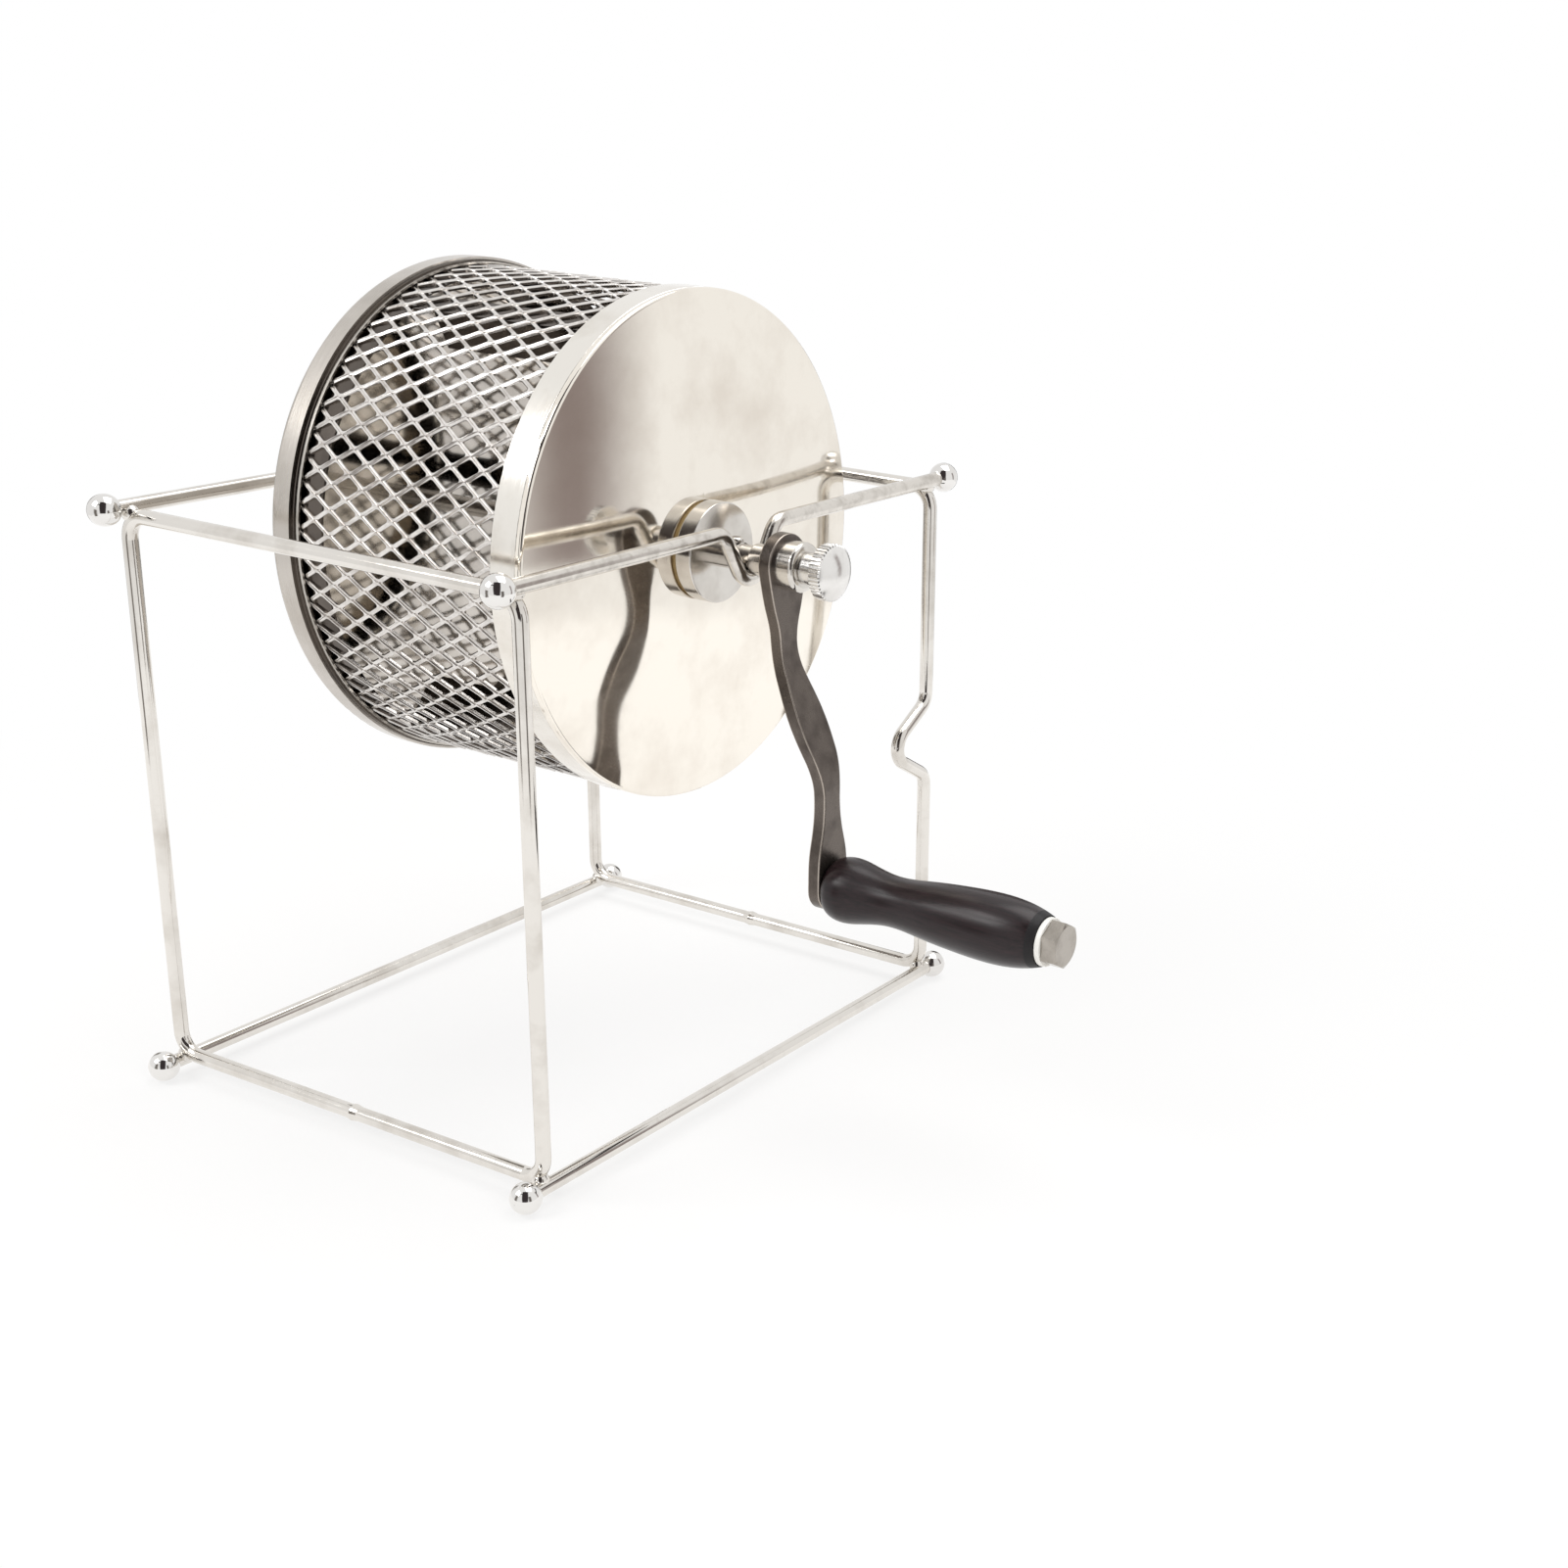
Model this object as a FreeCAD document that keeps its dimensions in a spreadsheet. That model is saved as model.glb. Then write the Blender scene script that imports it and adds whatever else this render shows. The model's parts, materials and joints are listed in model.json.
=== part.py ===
import FreeCAD, Part

import math
import os

import Sketcher
from FreeCAD import Placement, Rotation, Vector

# Hand cranked coffee roaster: a mesh drum on a shaft that lies in the dips of a bent wire stand.
# Millimetres and degrees. X runs along the drum's shaft towards the crank, Y across the stand and
# Z up. The origin is on the table, in the middle of the stand's four feet.

# Driving sizes

SIZES = {
    # Wire stand
    "wire_dia": 4.8,
    "ball_dia": 10.0,
    "stand_length": 157.0,
    "ball_spacing": 219.4,
    "hoop_spacing": 203.3,
    "top_rod_height": 189.1,
    "hoop_corner_radius": 7.5,
    "weld_gap": 0.15,
    "weld_bead_dia": 5.6,
    "butt_weld_length": 5.0,
    "butt_weld_dia": 5.6,
    "dip_half_angle": 30.0,
    "dip_shoulder_radius": 6.5,
    "kink_depth": 17.5,
    "kink_height": 96.0,
    # Shaft and its bushes
    "axis_height": 179.4,
    "shaft_dia": 6.0,
    "journal_dia": 8.0,
    "collar_dia": 10.0,
    "collar_length": 7.7,
    "running_fit": 0.05,
    "push_fit": 0.02,
    "end_float": 0.3,
    "shaft_tail": 1.6,
    "edge_break": 0.4,
    "screw_dia": 3.0,
    "screw_head_dia": 4.6,
    "screw_head_height": 1.5,
    # Hub
    "hub_disc_dia": 31.6,
    "hub_disc_thickness": 5.8,
    "hub_boss_dia": 8.8,
    "hub_boss_length": 7.9,
    "hub_boss_float": 0.5,
    "hub_screw_inset": 2.3,
    "hub_spigot_dia": 16.0,
    "hub_spacer_dia": 24.0,
    "hub_spacer_thickness": 0.9,
    "lock_ring_dia": 24.0,
    "lock_ring_thickness": 3.0,
    # Drum shell
    "mesh_dia": 158.0,
    "mesh_thickness": 1.1,
    "mesh_strand": 2.2,
    "mesh_cells_round": 32,
    "mesh_cell_rows": 6,
    "mesh_visible_length": 77.1,
    "shell_gap": 0.05,
    "sheet": 0.8,
    "band_dia": 159.4,
    "band_width": 9.35,
    "band_seam": 0.15,
    "lid_dome": 2.8,
    "lid_rim_thickness": 2.0,
    "lid_rim_round": 1.0,
    "lid_skirt_depth": 8.2,
    "end_ring_width": 1.4,
    "sleeve_reach": 7.8,
    "cap_dia": 162.0,
    "cap_depth": 8.0,
    "cap_mouth_gap": 1.3,
    "cap_rim_round": 2.0,
    "cap_boss_dia": 18.0,
    "cap_boss_length": 6.0,
    # Agitator vanes
    "vane_count": 3,
    "vane_flange_width": 8.0,
    "vane_reach": 18.0,
    "vane_clearance": 1.0,
    "vane_first_angle": 25.0,
    # Crank
    "crank_radius": 102.6,
    "crank_rest_angle": 1.3,
    "arm_thickness": 4.5,
    "arm_offset": 16.0,
    "arm_bend_radius": 28.0,
    "arm_bevel": 0.6,
    "arm_eye_dia": 19.4,
    "arm_boss_dia": 16.0,
    "barrel_dia": 15.6,
    "barrel_length": 6.8,
    "barrel_round": 1.6,
    "nut_neck_dia": 10.0,
    "nut_neck_length": 6.55,
    "nut_knurl_dia": 17.6,
    "nut_knurl_length": 4.0,
    "nut_knurl_teeth": 40,
    "nut_knurl_depth": 0.4,
    "nut_dome_dia": 12.0,
    "nut_dome_height": 3.8,
    "nut_dome_wall": 4.4,
    # Grip
    "grip_dia": 22.1,
    "grip_length": 78.6,
    "grip_gap": 0.4,
    "grip_bolt_dia": 8.0,
    "washer_dia": 15.4,
    "washer_thickness": 1.9,
    "bolt_head_flats": 13.0,
    "bolt_head_height": 5.3,
}

# Sizes and places that follow from the driving sizes

PLACES = {
    "wire_radius": "Sizes.wire_dia / 2",
    "rod_x": "Sizes.stand_length / 2",
    "base_rod_height": "Sizes.ball_dia / 2",
    "ball_y": "Sizes.ball_spacing / 2",
    "ball_flat_angle": "acos(Sizes.wire_dia / Sizes.ball_dia)",
    "rod_end_y": "ball_y - sqrt((Sizes.ball_dia / 2) ^ 2 - wire_radius ^ 2)",
    "hoop_y": "Sizes.hoop_spacing / 2",
    "weld_reach": "Sizes.hoop_corner_radius + Sizes.wire_dia + Sizes.weld_gap",
    "corner_drop": "sqrt(weld_reach ^ 2 - Sizes.hoop_corner_radius ^ 2)",
    "low_corner_z": "base_rod_height + corner_drop",
    "high_corner_z": "Sizes.top_rod_height - corner_drop",
    "journal_radius": "Sizes.journal_dia / 2",
    "dip_radius": "journal_radius + Sizes.running_fit + wire_radius",
    "shaft_radius": "Sizes.shaft_dia / 2",
    "shaft_bore": "shaft_radius + Sizes.push_fit",
    "shaft_running_bore": "shaft_radius + Sizes.running_fit",
    "collar_back": "rod_x + wire_radius + Sizes.end_float",
    "arm_back": "collar_back + Sizes.collar_length",
    "arm_front": "arm_back + Sizes.arm_thickness",
    "barrel_front": "arm_front + Sizes.barrel_length",
    "nut_back": "barrel_front + Sizes.running_fit",
    "knurl_back": "nut_back + Sizes.nut_neck_length",
    "knurl_front": "knurl_back + Sizes.nut_knurl_length",
    "nut_tip": "knurl_front + Sizes.nut_dome_height",
    "nut_bore_end": "nut_tip - Sizes.nut_dome_wall",
    "shaft_tip": "nut_bore_end - Sizes.end_float",
    "far_collar_end": "-arm_back",
    "shaft_far_end": "far_collar_end - Sizes.shaft_tail",
    "boss_end": "rod_x - wire_radius - Sizes.hub_boss_float",
    "disc_front": "boss_end - Sizes.hub_boss_length",
    "disc_back": "disc_front - Sizes.hub_disc_thickness",
    "lid_top": "disc_back - Sizes.hub_spacer_thickness",
    "lid_under": "lid_top - Sizes.sheet",
    "lock_ring_end": "lid_under - Sizes.lock_ring_thickness",
    "spigot_radius": "Sizes.hub_spigot_dia / 2",
    "spigot_bore": "spigot_radius + Sizes.push_fit",
    "hub_screw_x": "boss_end - Sizes.hub_screw_inset",
    "lid_rim_front": "lid_top - Sizes.lid_dome",
    "lid_rim_back": "lid_rim_front - Sizes.lid_rim_thickness",
    "band_front": "lid_rim_back - Sizes.band_seam",
    "band_back": "band_front - Sizes.band_width",
    "ring_front": "band_back - Sizes.mesh_visible_length",
    "ring_back": "ring_front - Sizes.end_ring_width",
    "mesh_start": "ring_back + Sizes.shell_gap",
    "mesh_end": "band_front - Sizes.shell_gap",
    "mesh_outer": "Sizes.mesh_dia / 2",
    "mesh_inner": "mesh_outer - Sizes.mesh_thickness",
    "band_radius": "Sizes.band_dia / 2",
    "band_bore": "mesh_outer + Sizes.shell_gap",
    "skirt_radius": "mesh_inner - Sizes.shell_gap",
    "lid_skirt_end": "lid_rim_back - Sizes.lid_skirt_depth",
    "cap_radius": "Sizes.cap_dia / 2",
    "cap_bore": "cap_radius - Sizes.sheet",
    "cap_mouth": "ring_back - Sizes.cap_mouth_gap",
    "cap_back": "cap_mouth - Sizes.cap_depth",
    "cap_floor": "cap_back + Sizes.sheet",
    "cap_boss_end": "cap_back - Sizes.cap_boss_length",
    "sleeve_radius": "cap_bore - Sizes.running_fit",
    "sleeve_far_end": "cap_floor + Sizes.end_float",
    "sleeve_near_end": "ring_front + Sizes.sleeve_reach",
    "vane_start": "sleeve_near_end + Sizes.vane_clearance",
    "vane_length": "lid_skirt_end - Sizes.vane_clearance - vane_start",
    "flange_radius": "sqrt(mesh_inner ^ 2 - (Sizes.vane_flange_width / 2) ^ 2) - Sizes.shell_gap",
    "grip_seat": "arm_front + Sizes.arm_offset",
    "grip_start": "grip_seat + Sizes.grip_gap",
    "grip_end": "grip_start + Sizes.grip_length",
    "washer_back": "grip_end + Sizes.running_fit",
    "washer_front": "washer_back + Sizes.washer_thickness",
    "bolt_radius": "Sizes.grip_bolt_dia / 2",
    "bolt_length": "washer_front - grip_seat + Sizes.arm_thickness",
    "grip_y": "Sizes.crank_radius * sin(Sizes.crank_rest_angle * 1 deg)",
    "grip_z": "Sizes.axis_height - Sizes.crank_radius * cos(Sizes.crank_rest_angle * 1 deg)",
}

# The crank arm: how far along the crank radius it bends out and back, and its half width on the
# way, as (share of the crank radius, share of the eye's radius).

ARM_BEND_SHARES = (0.295, 0.635)
ARM_HALF_WIDTHS = [
    (0.135, 0.68),
    (0.19, 0.50),
    (0.27, 0.43),
    (0.35, 0.52),
    (0.43, 0.66),
    (0.50, 0.69),
    (0.58, 0.61),
    (0.67, 0.46),
    (0.74, 0.44),
    (0.82, 0.56),
    (0.89, 0.74),
]

# The turned grip: how far along its length, and its radius as a share of the largest.

GRIP_OUTLINE = [
    (0.02, 0.86),
    (0.065, 0.96),
    (0.17, 0.87),
    (0.29, 0.74),
    (0.46, 0.84),
    (0.61, 0.945),
    (0.755, 1.0),
    (0.88, 0.955),
]
GRIP_START_SHARE = 0.70
GRIP_END_SHARE = 0.74

doc = FreeCAD.newDocument("coffee_roaster")


def fill_sheet(name, cells):
    """A spreadsheet with a name, a value and an alias on each row."""
    sheet = doc.addObject("Spreadsheet::Sheet", name)
    for row, (alias, content) in enumerate(cells, start=1):
        sheet.set("A%d" % row, alias)
        sheet.set("B%d" % row, content)
        sheet.setAlias("B%d" % row, alias)
    doc.recompute()
    return sheet


sizes = fill_sheet("Sizes", [(alias, str(number)) for alias, number in SIZES.items()])
places = fill_sheet("Places", [(alias, "=" + formula) for alias, formula in PLACES.items()])


def size(alias):
    return float(sizes.get(alias))


def place(alias):
    return float(places.get(alias))


sub_parts = []


def keep(item, label):
    """Registers a finished sub-part under the name that its file takes."""
    item.Label = label
    sub_parts.append(item)
    return item


def bind(item, **expressions):
    """Binds properties, written with two underscores for a dot, to expressions."""
    for name, expression in expressions.items():
        item.setExpression(name.replace("__", "."), expression)


# Builders for turned, padded and bent pieces


def origin_plane(body, role):
    return next(item for item in body.Origin.OriginFeatures if item.Role == role)


def new_sketch(body, role, name):
    sketch = body.newObject("Sketcher::SketchObject", name)
    sketch.AttachmentSupport = [(origin_plane(body, role), "")]
    sketch.MapMode = "FlatFace"
    return sketch


def outline(body, role, corners):
    """A sketch of straight edges round corners that are pairs of expressions."""
    sketch = new_sketch(body, role, body.Name + "_outline")
    count = len(corners)
    turns = [2 * math.pi * index / count for index in range(count)]
    spots = [Vector(math.cos(turn), math.sin(turn), 0) for turn in turns]
    for index in range(count):
        sketch.addGeometry(Part.LineSegment(spots[index], spots[(index + 1) % count]), False)
    for index in range(count):
        sketch.addConstraint(Sketcher.Constraint("Coincident", index, 2, (index + 1) % count, 1))
    for index, (across, up) in enumerate(corners):
        spot = spots[index]
        for kind, expression, start in (("DistanceX", across, spot.x), ("DistanceY", up, spot.y)):
            number = sketch.addConstraint(Sketcher.Constraint(kind, -1, 1, index, 1, start))
            sketch.setExpression("Constraints[%d]" % number, expression)
    return sketch


def turned(label, corners):
    """A body turned about the shaft's axis from (along, radius) corners."""
    body = doc.addObject("PartDesign::Body", label)
    sketch = outline(body, "XZ_Plane", corners)
    turning = body.newObject("PartDesign::Revolution", label + "_turning")
    turning.Profile = sketch
    turning.ReferenceAxis = (sketch, ["H_Axis"])
    turning.Angle = 360
    sketch.Visibility = False
    bind(body, Placement__Base__z="Sizes.axis_height")
    doc.recompute()
    return keep(body, label)


def ring(label, back, front, bore, outside):
    """A plain ring about the shaft's axis."""
    return turned(label, [(back, bore), (back, outside), (front, outside), (front, bore)])


def round_rims(body, radius, wider_than, from_x=-math.inf, to_x=math.inf):
    """Fillets the circular edges of a turned body that are wider than a radius, within a stretch."""
    base = body.Tip
    rims = []
    for number, edge in enumerate(base.Shape.Edges, start=1):
        if not isinstance(edge.Curve, Part.Circle) or edge.Curve.Radius <= wider_than:
            continue
        if from_x < edge.Curve.Center.x < to_x:
            rims.append("Edge%d" % number)
    fillet = body.newObject("PartDesign::Fillet", body.Name + "_rims")
    fillet.Base = (base, rims)
    bind(fillet, Radius=radius)
    doc.recompute()


def cross_hole(body, along, diameter, reach):
    """Drills from the shaft's axis up through the top of a turned body."""
    before = body.Tip.Shape.Volume
    sketch = new_sketch(body, "XY_Plane", body.Name + "_hole_centre")
    sketch.addGeometry(Part.Circle(Vector(1, 0, 0), Vector(0, 0, 1), 1), False)
    sketch.addConstraint(Sketcher.Constraint("PointOnObject", 0, 3, -1))
    centre = sketch.addConstraint(Sketcher.Constraint("DistanceX", -1, 1, 0, 3, 1.0))
    sketch.setExpression("Constraints[%d]" % centre, along)
    width = sketch.addConstraint(Sketcher.Constraint("Diameter", 0, 2.0))
    sketch.setExpression("Constraints[%d]" % width, diameter)
    hole = body.newObject("PartDesign::Pocket", body.Name + "_hole")
    hole.Profile = sketch
    hole.Reversed = True
    bind(hole, Length=reach)
    sketch.Visibility = False
    doc.recompute()
    if body.Tip.Shape.Volume >= before:
        raise RuntimeError("the cross hole of %s cuts nothing" % body.Label)


def revolved(edges):
    """A solid turned about the X axis from edges in the XZ plane."""
    face = Part.Face(Part.Wire(Part.__sortEdges__(edges)))
    return face.revolve(Vector(0, 0, 0), Vector(1, 0, 0), 360)


def segment(start, end):
    return Part.LineSegment(start, end).toShape()


def feature(label, shape, placement):
    """A sub-part whose shape is worked out here, put in place once it has its shape."""
    item = doc.addObject("Part::Feature", label)
    item.Shape = shape
    item.Placement = placement
    return keep(item, label)


def route_edges(corners):
    """Straight runs joined by tangent arcs, from (point, radius) corners."""
    edges = []
    here = corners[0][0]
    for (before, _), (corner, radius), (after, _) in zip(corners, corners[1:], corners[2:]):
        back = (before - corner).normalize()
        on = (after - corner).normalize()
        half = back.getAngle(on) / 2
        reach = radius / math.tan(half)
        middle = (back + on).normalize()
        top = corner + middle * (radius / math.sin(half) - radius)
        start = corner + back * reach
        end = corner + on * reach
        edges.append(segment(here, start))
        edges.append(Part.Arc(start, top, end).toShape())
        here = end
    edges.append(segment(here, corners[-1][0]))
    return edges


def bent_wire(corners):
    """Round wire of the stand's gauge, swept along a route."""
    path = Part.Wire(route_edges(corners))
    start, next_corner = corners[0][0], corners[1][0]
    section = Part.Wire(Part.makeCircle(place("wire_radius"), start, next_corner - start))
    return path.makePipeShell([section], True, False)


# Wire stand


def hoop_side(y, inward):
    """Corners of a hoop's half, from the butt weld along the bottom, up a leg and back along the top."""
    radius = size("hoop_corner_radius")
    low = place("low_corner_z") - radius
    high = place("high_corner_z") + radius
    leg_x = place("rod_x")
    seam = size("butt_weld_length") / 4
    corners = [(Vector(seam, y, low), 0), (Vector(leg_x, y, low), radius)]
    if inward:
        half = math.radians(size("dip_half_angle"))
        bend = place("dip_radius")
        vertex = size("kink_depth") + bend / math.sin(half) - bend
        rise = vertex * math.tan(half)
        middle = size("kink_height")
        shoulder = size("dip_shoulder_radius")
        corners.append((Vector(leg_x, y, middle - rise), shoulder))
        corners.append((Vector(leg_x, y - vertex, middle), bend))
        corners.append((Vector(leg_x, y, middle + rise), shoulder))
    corners.append((Vector(leg_x, y, high), radius))
    return corners


def hoop(y, inward):
    """One side hoop: both halves of the wire, closed by a butt weld in the bottom rail."""
    half = hoop_side(y, inward)
    other = [(Vector(-spot.x, spot.y, spot.z), radius) for spot, radius in reversed(half)]
    wire = bent_wire(half + other)
    low = half[0][0].z
    length = size("butt_weld_length")
    thick = size("butt_weld_dia") / 2
    thin = place("wire_radius")
    along = Vector(1, 0, 0)
    swell = Part.makeCone(thin, thick, length / 2, Vector(-length / 2, y, low), along)
    taper = Part.makeCone(thick, thin, length / 2, Vector(0, y, low), along)
    return wire.fuse([swell, taper]).removeSplitter()


def top_rod(x):
    """Corners of a top cross rod, with the dip that carries the shaft."""
    half = math.radians(size("dip_half_angle"))
    bend = place("dip_radius")
    top = size("top_rod_height")
    vertex = size("axis_height") - bend / math.sin(half)
    shoulder_y = (top - vertex) * math.tan(half)
    shoulder = size("dip_shoulder_radius")
    end = place("rod_end_y")
    return [
        (Vector(x, -end, top), 0),
        (Vector(x, -shoulder_y, top), shoulder),
        (Vector(x, 0, vertex), bend),
        (Vector(x, shoulder_y, top), shoulder),
        (Vector(x, end, top), 0),
    ]


rod_ends = {"crank": place("rod_x"), "far": -place("rod_x")}
still = Placement()

feature("near_side_hoop", hoop(-place("hoop_y"), False), still)
feature("far_side_hoop", hoop(place("hoop_y"), True), still)

top_rods = {}
for end, x in rod_ends.items():
    top_rods[end] = feature(end + "_top_rod", bent_wire(top_rod(x)), still)

base_rods = {}
for end, sign in (("crank", ""), ("far", "-")):
    rod = doc.addObject("Part::Cylinder", end + "_base_rod")
    bind(
        rod,
        Radius="Places.wire_radius",
        Height="2 * Places.rod_end_y",
        Placement__Base__x=sign + "Places.rod_x",
        Placement__Base__y="Places.rod_end_y",
        Placement__Base__z="Places.base_rod_height",
    )
    rod.Placement.Rotation = Rotation(Vector(1, 0, 0), 90)
    base_rods[end] = keep(rod, end + "_base_rod")


def end_balls(label, height):
    """The four balls of a pair of cross rods, each with a flat that its rod is welded to."""
    balls = []
    for x_sign in ("", "-"):
        for y_sign, tilt in (("", 90), ("-", -90)):
            ball = doc.addObject("Part::Sphere", label + "_one")
            ball.Placement.Rotation = Rotation(Vector(1, 0, 0), tilt)
            bind(
                ball,
                Radius="Sizes.ball_dia / 2",
                Angle2="Places.ball_flat_angle",
                Placement__Base__x=x_sign + "Places.rod_x",
                Placement__Base__y=y_sign + "Places.ball_y",
                Placement__Base__z=height,
            )
            balls.append(ball)
    group = doc.addObject("Part::Compound", label)
    group.Links = balls
    return keep(group, label)


end_balls("top_balls", "Sizes.top_rod_height")
end_balls("foot_balls", "Places.base_rod_height")
doc.recompute()


def weld_bead(rod_item, x_side, y, low):
    """The bead between a hoop's corner and the cross rod that lies against it."""
    radius = size("hoop_corner_radius")
    corner_z = place("low_corner_z") if low else place("high_corner_z")
    rod_z = place("base_rod_height") if low else size("top_rod_height")
    centre = Vector(x_side * (place("rod_x") - radius), y, corner_z)
    rod_centre = Vector(x_side * place("rod_x"), y, rod_z)
    outward = (rod_centre - centre).normalize()
    spot = centre + outward * (radius + place("wire_radius") + size("weld_gap") / 2)
    bead = Part.makeSphere(size("weld_bead_dia") / 2, spot, outward)
    bend = Part.makeTorus(radius, place("wire_radius"), centre, Vector(0, 1, 0))
    return bead.cut(bend).cut(rod_item.Shape)


beads = []
for y in (-place("hoop_y"), place("hoop_y")):
    for end, x_side in (("crank", 1), ("far", -1)):
        beads.append(weld_bead(base_rods[end], x_side, y, True))
        beads.append(weld_bead(top_rods[end], x_side, y, False))
feature("hoop_welds", Part.makeCompound([bead.Solids[0] for bead in beads]), still)

# Shaft, bushes and hub

turned(
    "shaft",
    [
        ("Places.shaft_far_end", "0"),
        ("Places.shaft_far_end", "Places.shaft_radius - Sizes.edge_break"),
        ("Places.shaft_far_end + Sizes.edge_break", "Places.shaft_radius"),
        ("Places.shaft_tip - Sizes.edge_break", "Places.shaft_radius"),
        ("Places.shaft_tip", "Places.shaft_radius - Sizes.edge_break"),
        ("Places.shaft_tip", "0"),
    ],
)


def flanged_bush(label, side):
    """A bush on the shaft: the journal that lies in a dip, and a collar outside it."""
    stations = ["Places.boss_end", "Places.collar_back", "Places.arm_back"]
    inner, step, outer = [side + station for station in stations]
    corners = [
        (inner, "Places.shaft_bore"),
        (inner, "Places.journal_radius"),
        (step, "Places.journal_radius"),
        (step, "Sizes.collar_dia / 2"),
        (outer, "Sizes.collar_dia / 2"),
        (outer, "Places.shaft_bore"),
    ]
    body = turned(label, corners[::-1] if side else corners)
    round_rims(body, "Sizes.edge_break", place("journal_radius") + size("edge_break"))
    return body


flanged_bush("crank_side_bush", "")
far_bush = flanged_bush("far_side_bush", "-")
far_screw_x = "-(Places.collar_back + Sizes.collar_length / 2)"
cross_hole(far_bush, far_screw_x, "Sizes.screw_dia", "Sizes.collar_dia")

hub = turned(
    "hub_disc",
    [
        ("Places.lock_ring_end", "Places.shaft_bore"),
        ("Places.lock_ring_end", "Places.spigot_radius"),
        ("Places.disc_back", "Places.spigot_radius"),
        ("Places.disc_back", "Sizes.hub_disc_dia / 2"),
        ("Places.disc_front", "Sizes.hub_disc_dia / 2"),
        ("Places.disc_front", "Sizes.hub_boss_dia / 2"),
        ("Places.boss_end", "Sizes.hub_boss_dia / 2"),
        ("Places.boss_end", "Places.shaft_bore"),
    ],
)
round_rims(hub, "Sizes.edge_break", place("spigot_radius") + size("edge_break"))
cross_hole(hub, "Places.hub_screw_x", "Sizes.screw_dia", "Sizes.hub_boss_dia")

ring("hub_spacer", "Places.lid_top", "Places.disc_back", "Places.spigot_bore", "Sizes.hub_spacer_dia / 2")
lock_ring = ring(
    "hub_lock_ring",
    "Places.lock_ring_end",
    "Places.lid_under",
    "Places.spigot_bore",
    "Sizes.lock_ring_dia / 2",
)
round_rims(lock_ring, "Sizes.edge_break", place("spigot_bore") + size("edge_break"))


def set_screw(label, along, seat_radius):
    """A domed screw that stands on a boss and bears on the shaft."""
    body = turned(
        label,
        [
            ("Places.shaft_radius", "0"),
            ("Places.shaft_radius", "Sizes.screw_dia / 2 - Sizes.push_fit"),
            (seat_radius, "Sizes.screw_dia / 2 - Sizes.push_fit"),
            (seat_radius, "Sizes.screw_head_dia / 2"),
            (seat_radius + " + Sizes.screw_head_height", "Sizes.screw_head_dia / 2"),
            (seat_radius + " + Sizes.screw_head_height", "0"),
        ],
    )
    head_top = body.Tip.Shape.BoundBox.XMax
    round_rims(body, "Sizes.screw_head_height - Sizes.edge_break", 0, head_top - size("edge_break"))
    body.Placement.Rotation = Rotation(Vector(0, 1, 0), -90)
    bind(body, Placement__Base__x=along)


set_screw("hub_set_screw", "Places.hub_screw_x", "Sizes.hub_boss_dia / 2")
set_screw("far_bush_screw", far_screw_x, "Sizes.collar_dia / 2")

# Drum shell


def lid_shape():
    """The polished lid: a shallow dome round a flat seat, with a rounded rim and a skirt in the mesh."""
    sheet = size("sheet")
    outer = place("band_radius")
    rim_round = size("lid_rim_round")
    rim_back = place("lid_rim_back")
    rim_front = place("lid_rim_front")
    hole = place("spigot_bore")
    skirt_out = place("skirt_radius")
    skirt_in = skirt_out - sheet
    skirt_end = place("lid_skirt_end")
    front_edge = outer - rim_round
    seat = max(size("hub_spacer_dia"), size("lock_ring_dia")) / 2 + size("edge_break")
    middle = (front_edge + seat) / 2

    def dome(radius, depth):
        share = max(radius - seat, 0) / (front_edge - seat)
        return Vector(place("lid_top") - depth - size("lid_dome") * share**2, 0, radius)

    bevel = rim_round * (1 - math.sqrt(0.5))
    corner = Vector(rim_front - bevel, 0, outer - bevel)
    rim = Vector(rim_front - rim_round, 0, outer)
    front = dome(front_edge, 0)
    under = dome(skirt_in, sheet)
    spots = [
        Vector(skirt_end, 0, skirt_out),
        Vector(rim_back, 0, skirt_out),
        Vector(rim_back, 0, outer),
        rim,
    ]
    edges = [segment(start, end) for start, end in zip(spots, spots[1:])]
    edges.append(Part.Arc(rim, corner, front).toShape())
    edges.append(Part.Arc(front, dome(middle, 0), dome(seat, 0)).toShape())
    edges.append(segment(dome(seat, 0), dome(hole, 0)))
    edges.append(segment(dome(hole, 0), dome(hole, sheet)))
    edges.append(segment(dome(hole, sheet), dome(seat, sheet)))
    edges.append(Part.Arc(dome(seat, sheet), dome(middle, sheet), under).toShape())
    edges.append(segment(under, Vector(skirt_end, 0, skirt_in)))
    edges.append(segment(Vector(skirt_end, 0, skirt_in), spots[0]))
    return revolved(edges)


on_axis = Placement(Vector(0, 0, size("axis_height")), Rotation())
feature("polished_lid", lid_shape(), on_axis)

band = ring(
    "crank_end_band", "Places.band_back", "Places.band_front", "Places.band_bore", "Places.band_radius"
)
round_rims(band, "Sizes.band_seam", place("band_bore") + size("band_seam"))
ring("far_end_ring", "Places.ring_back", "Places.ring_front", "Places.band_bore", "Places.band_radius")

turned(
    "far_end_sleeve",
    [
        ("Places.sleeve_far_end", "Places.sleeve_radius - Sizes.sheet"),
        ("Places.sleeve_far_end", "Places.sleeve_radius"),
        ("Places.ring_back", "Places.sleeve_radius"),
        ("Places.ring_back", "Places.skirt_radius"),
        ("Places.sleeve_near_end", "Places.skirt_radius"),
        ("Places.sleeve_near_end", "Places.skirt_radius - Sizes.sheet"),
        ("Places.ring_back - Sizes.sheet", "Places.skirt_radius - Sizes.sheet"),
        ("Places.ring_back - Sizes.sheet", "Places.sleeve_radius - Sizes.sheet"),
    ],
)


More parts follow.
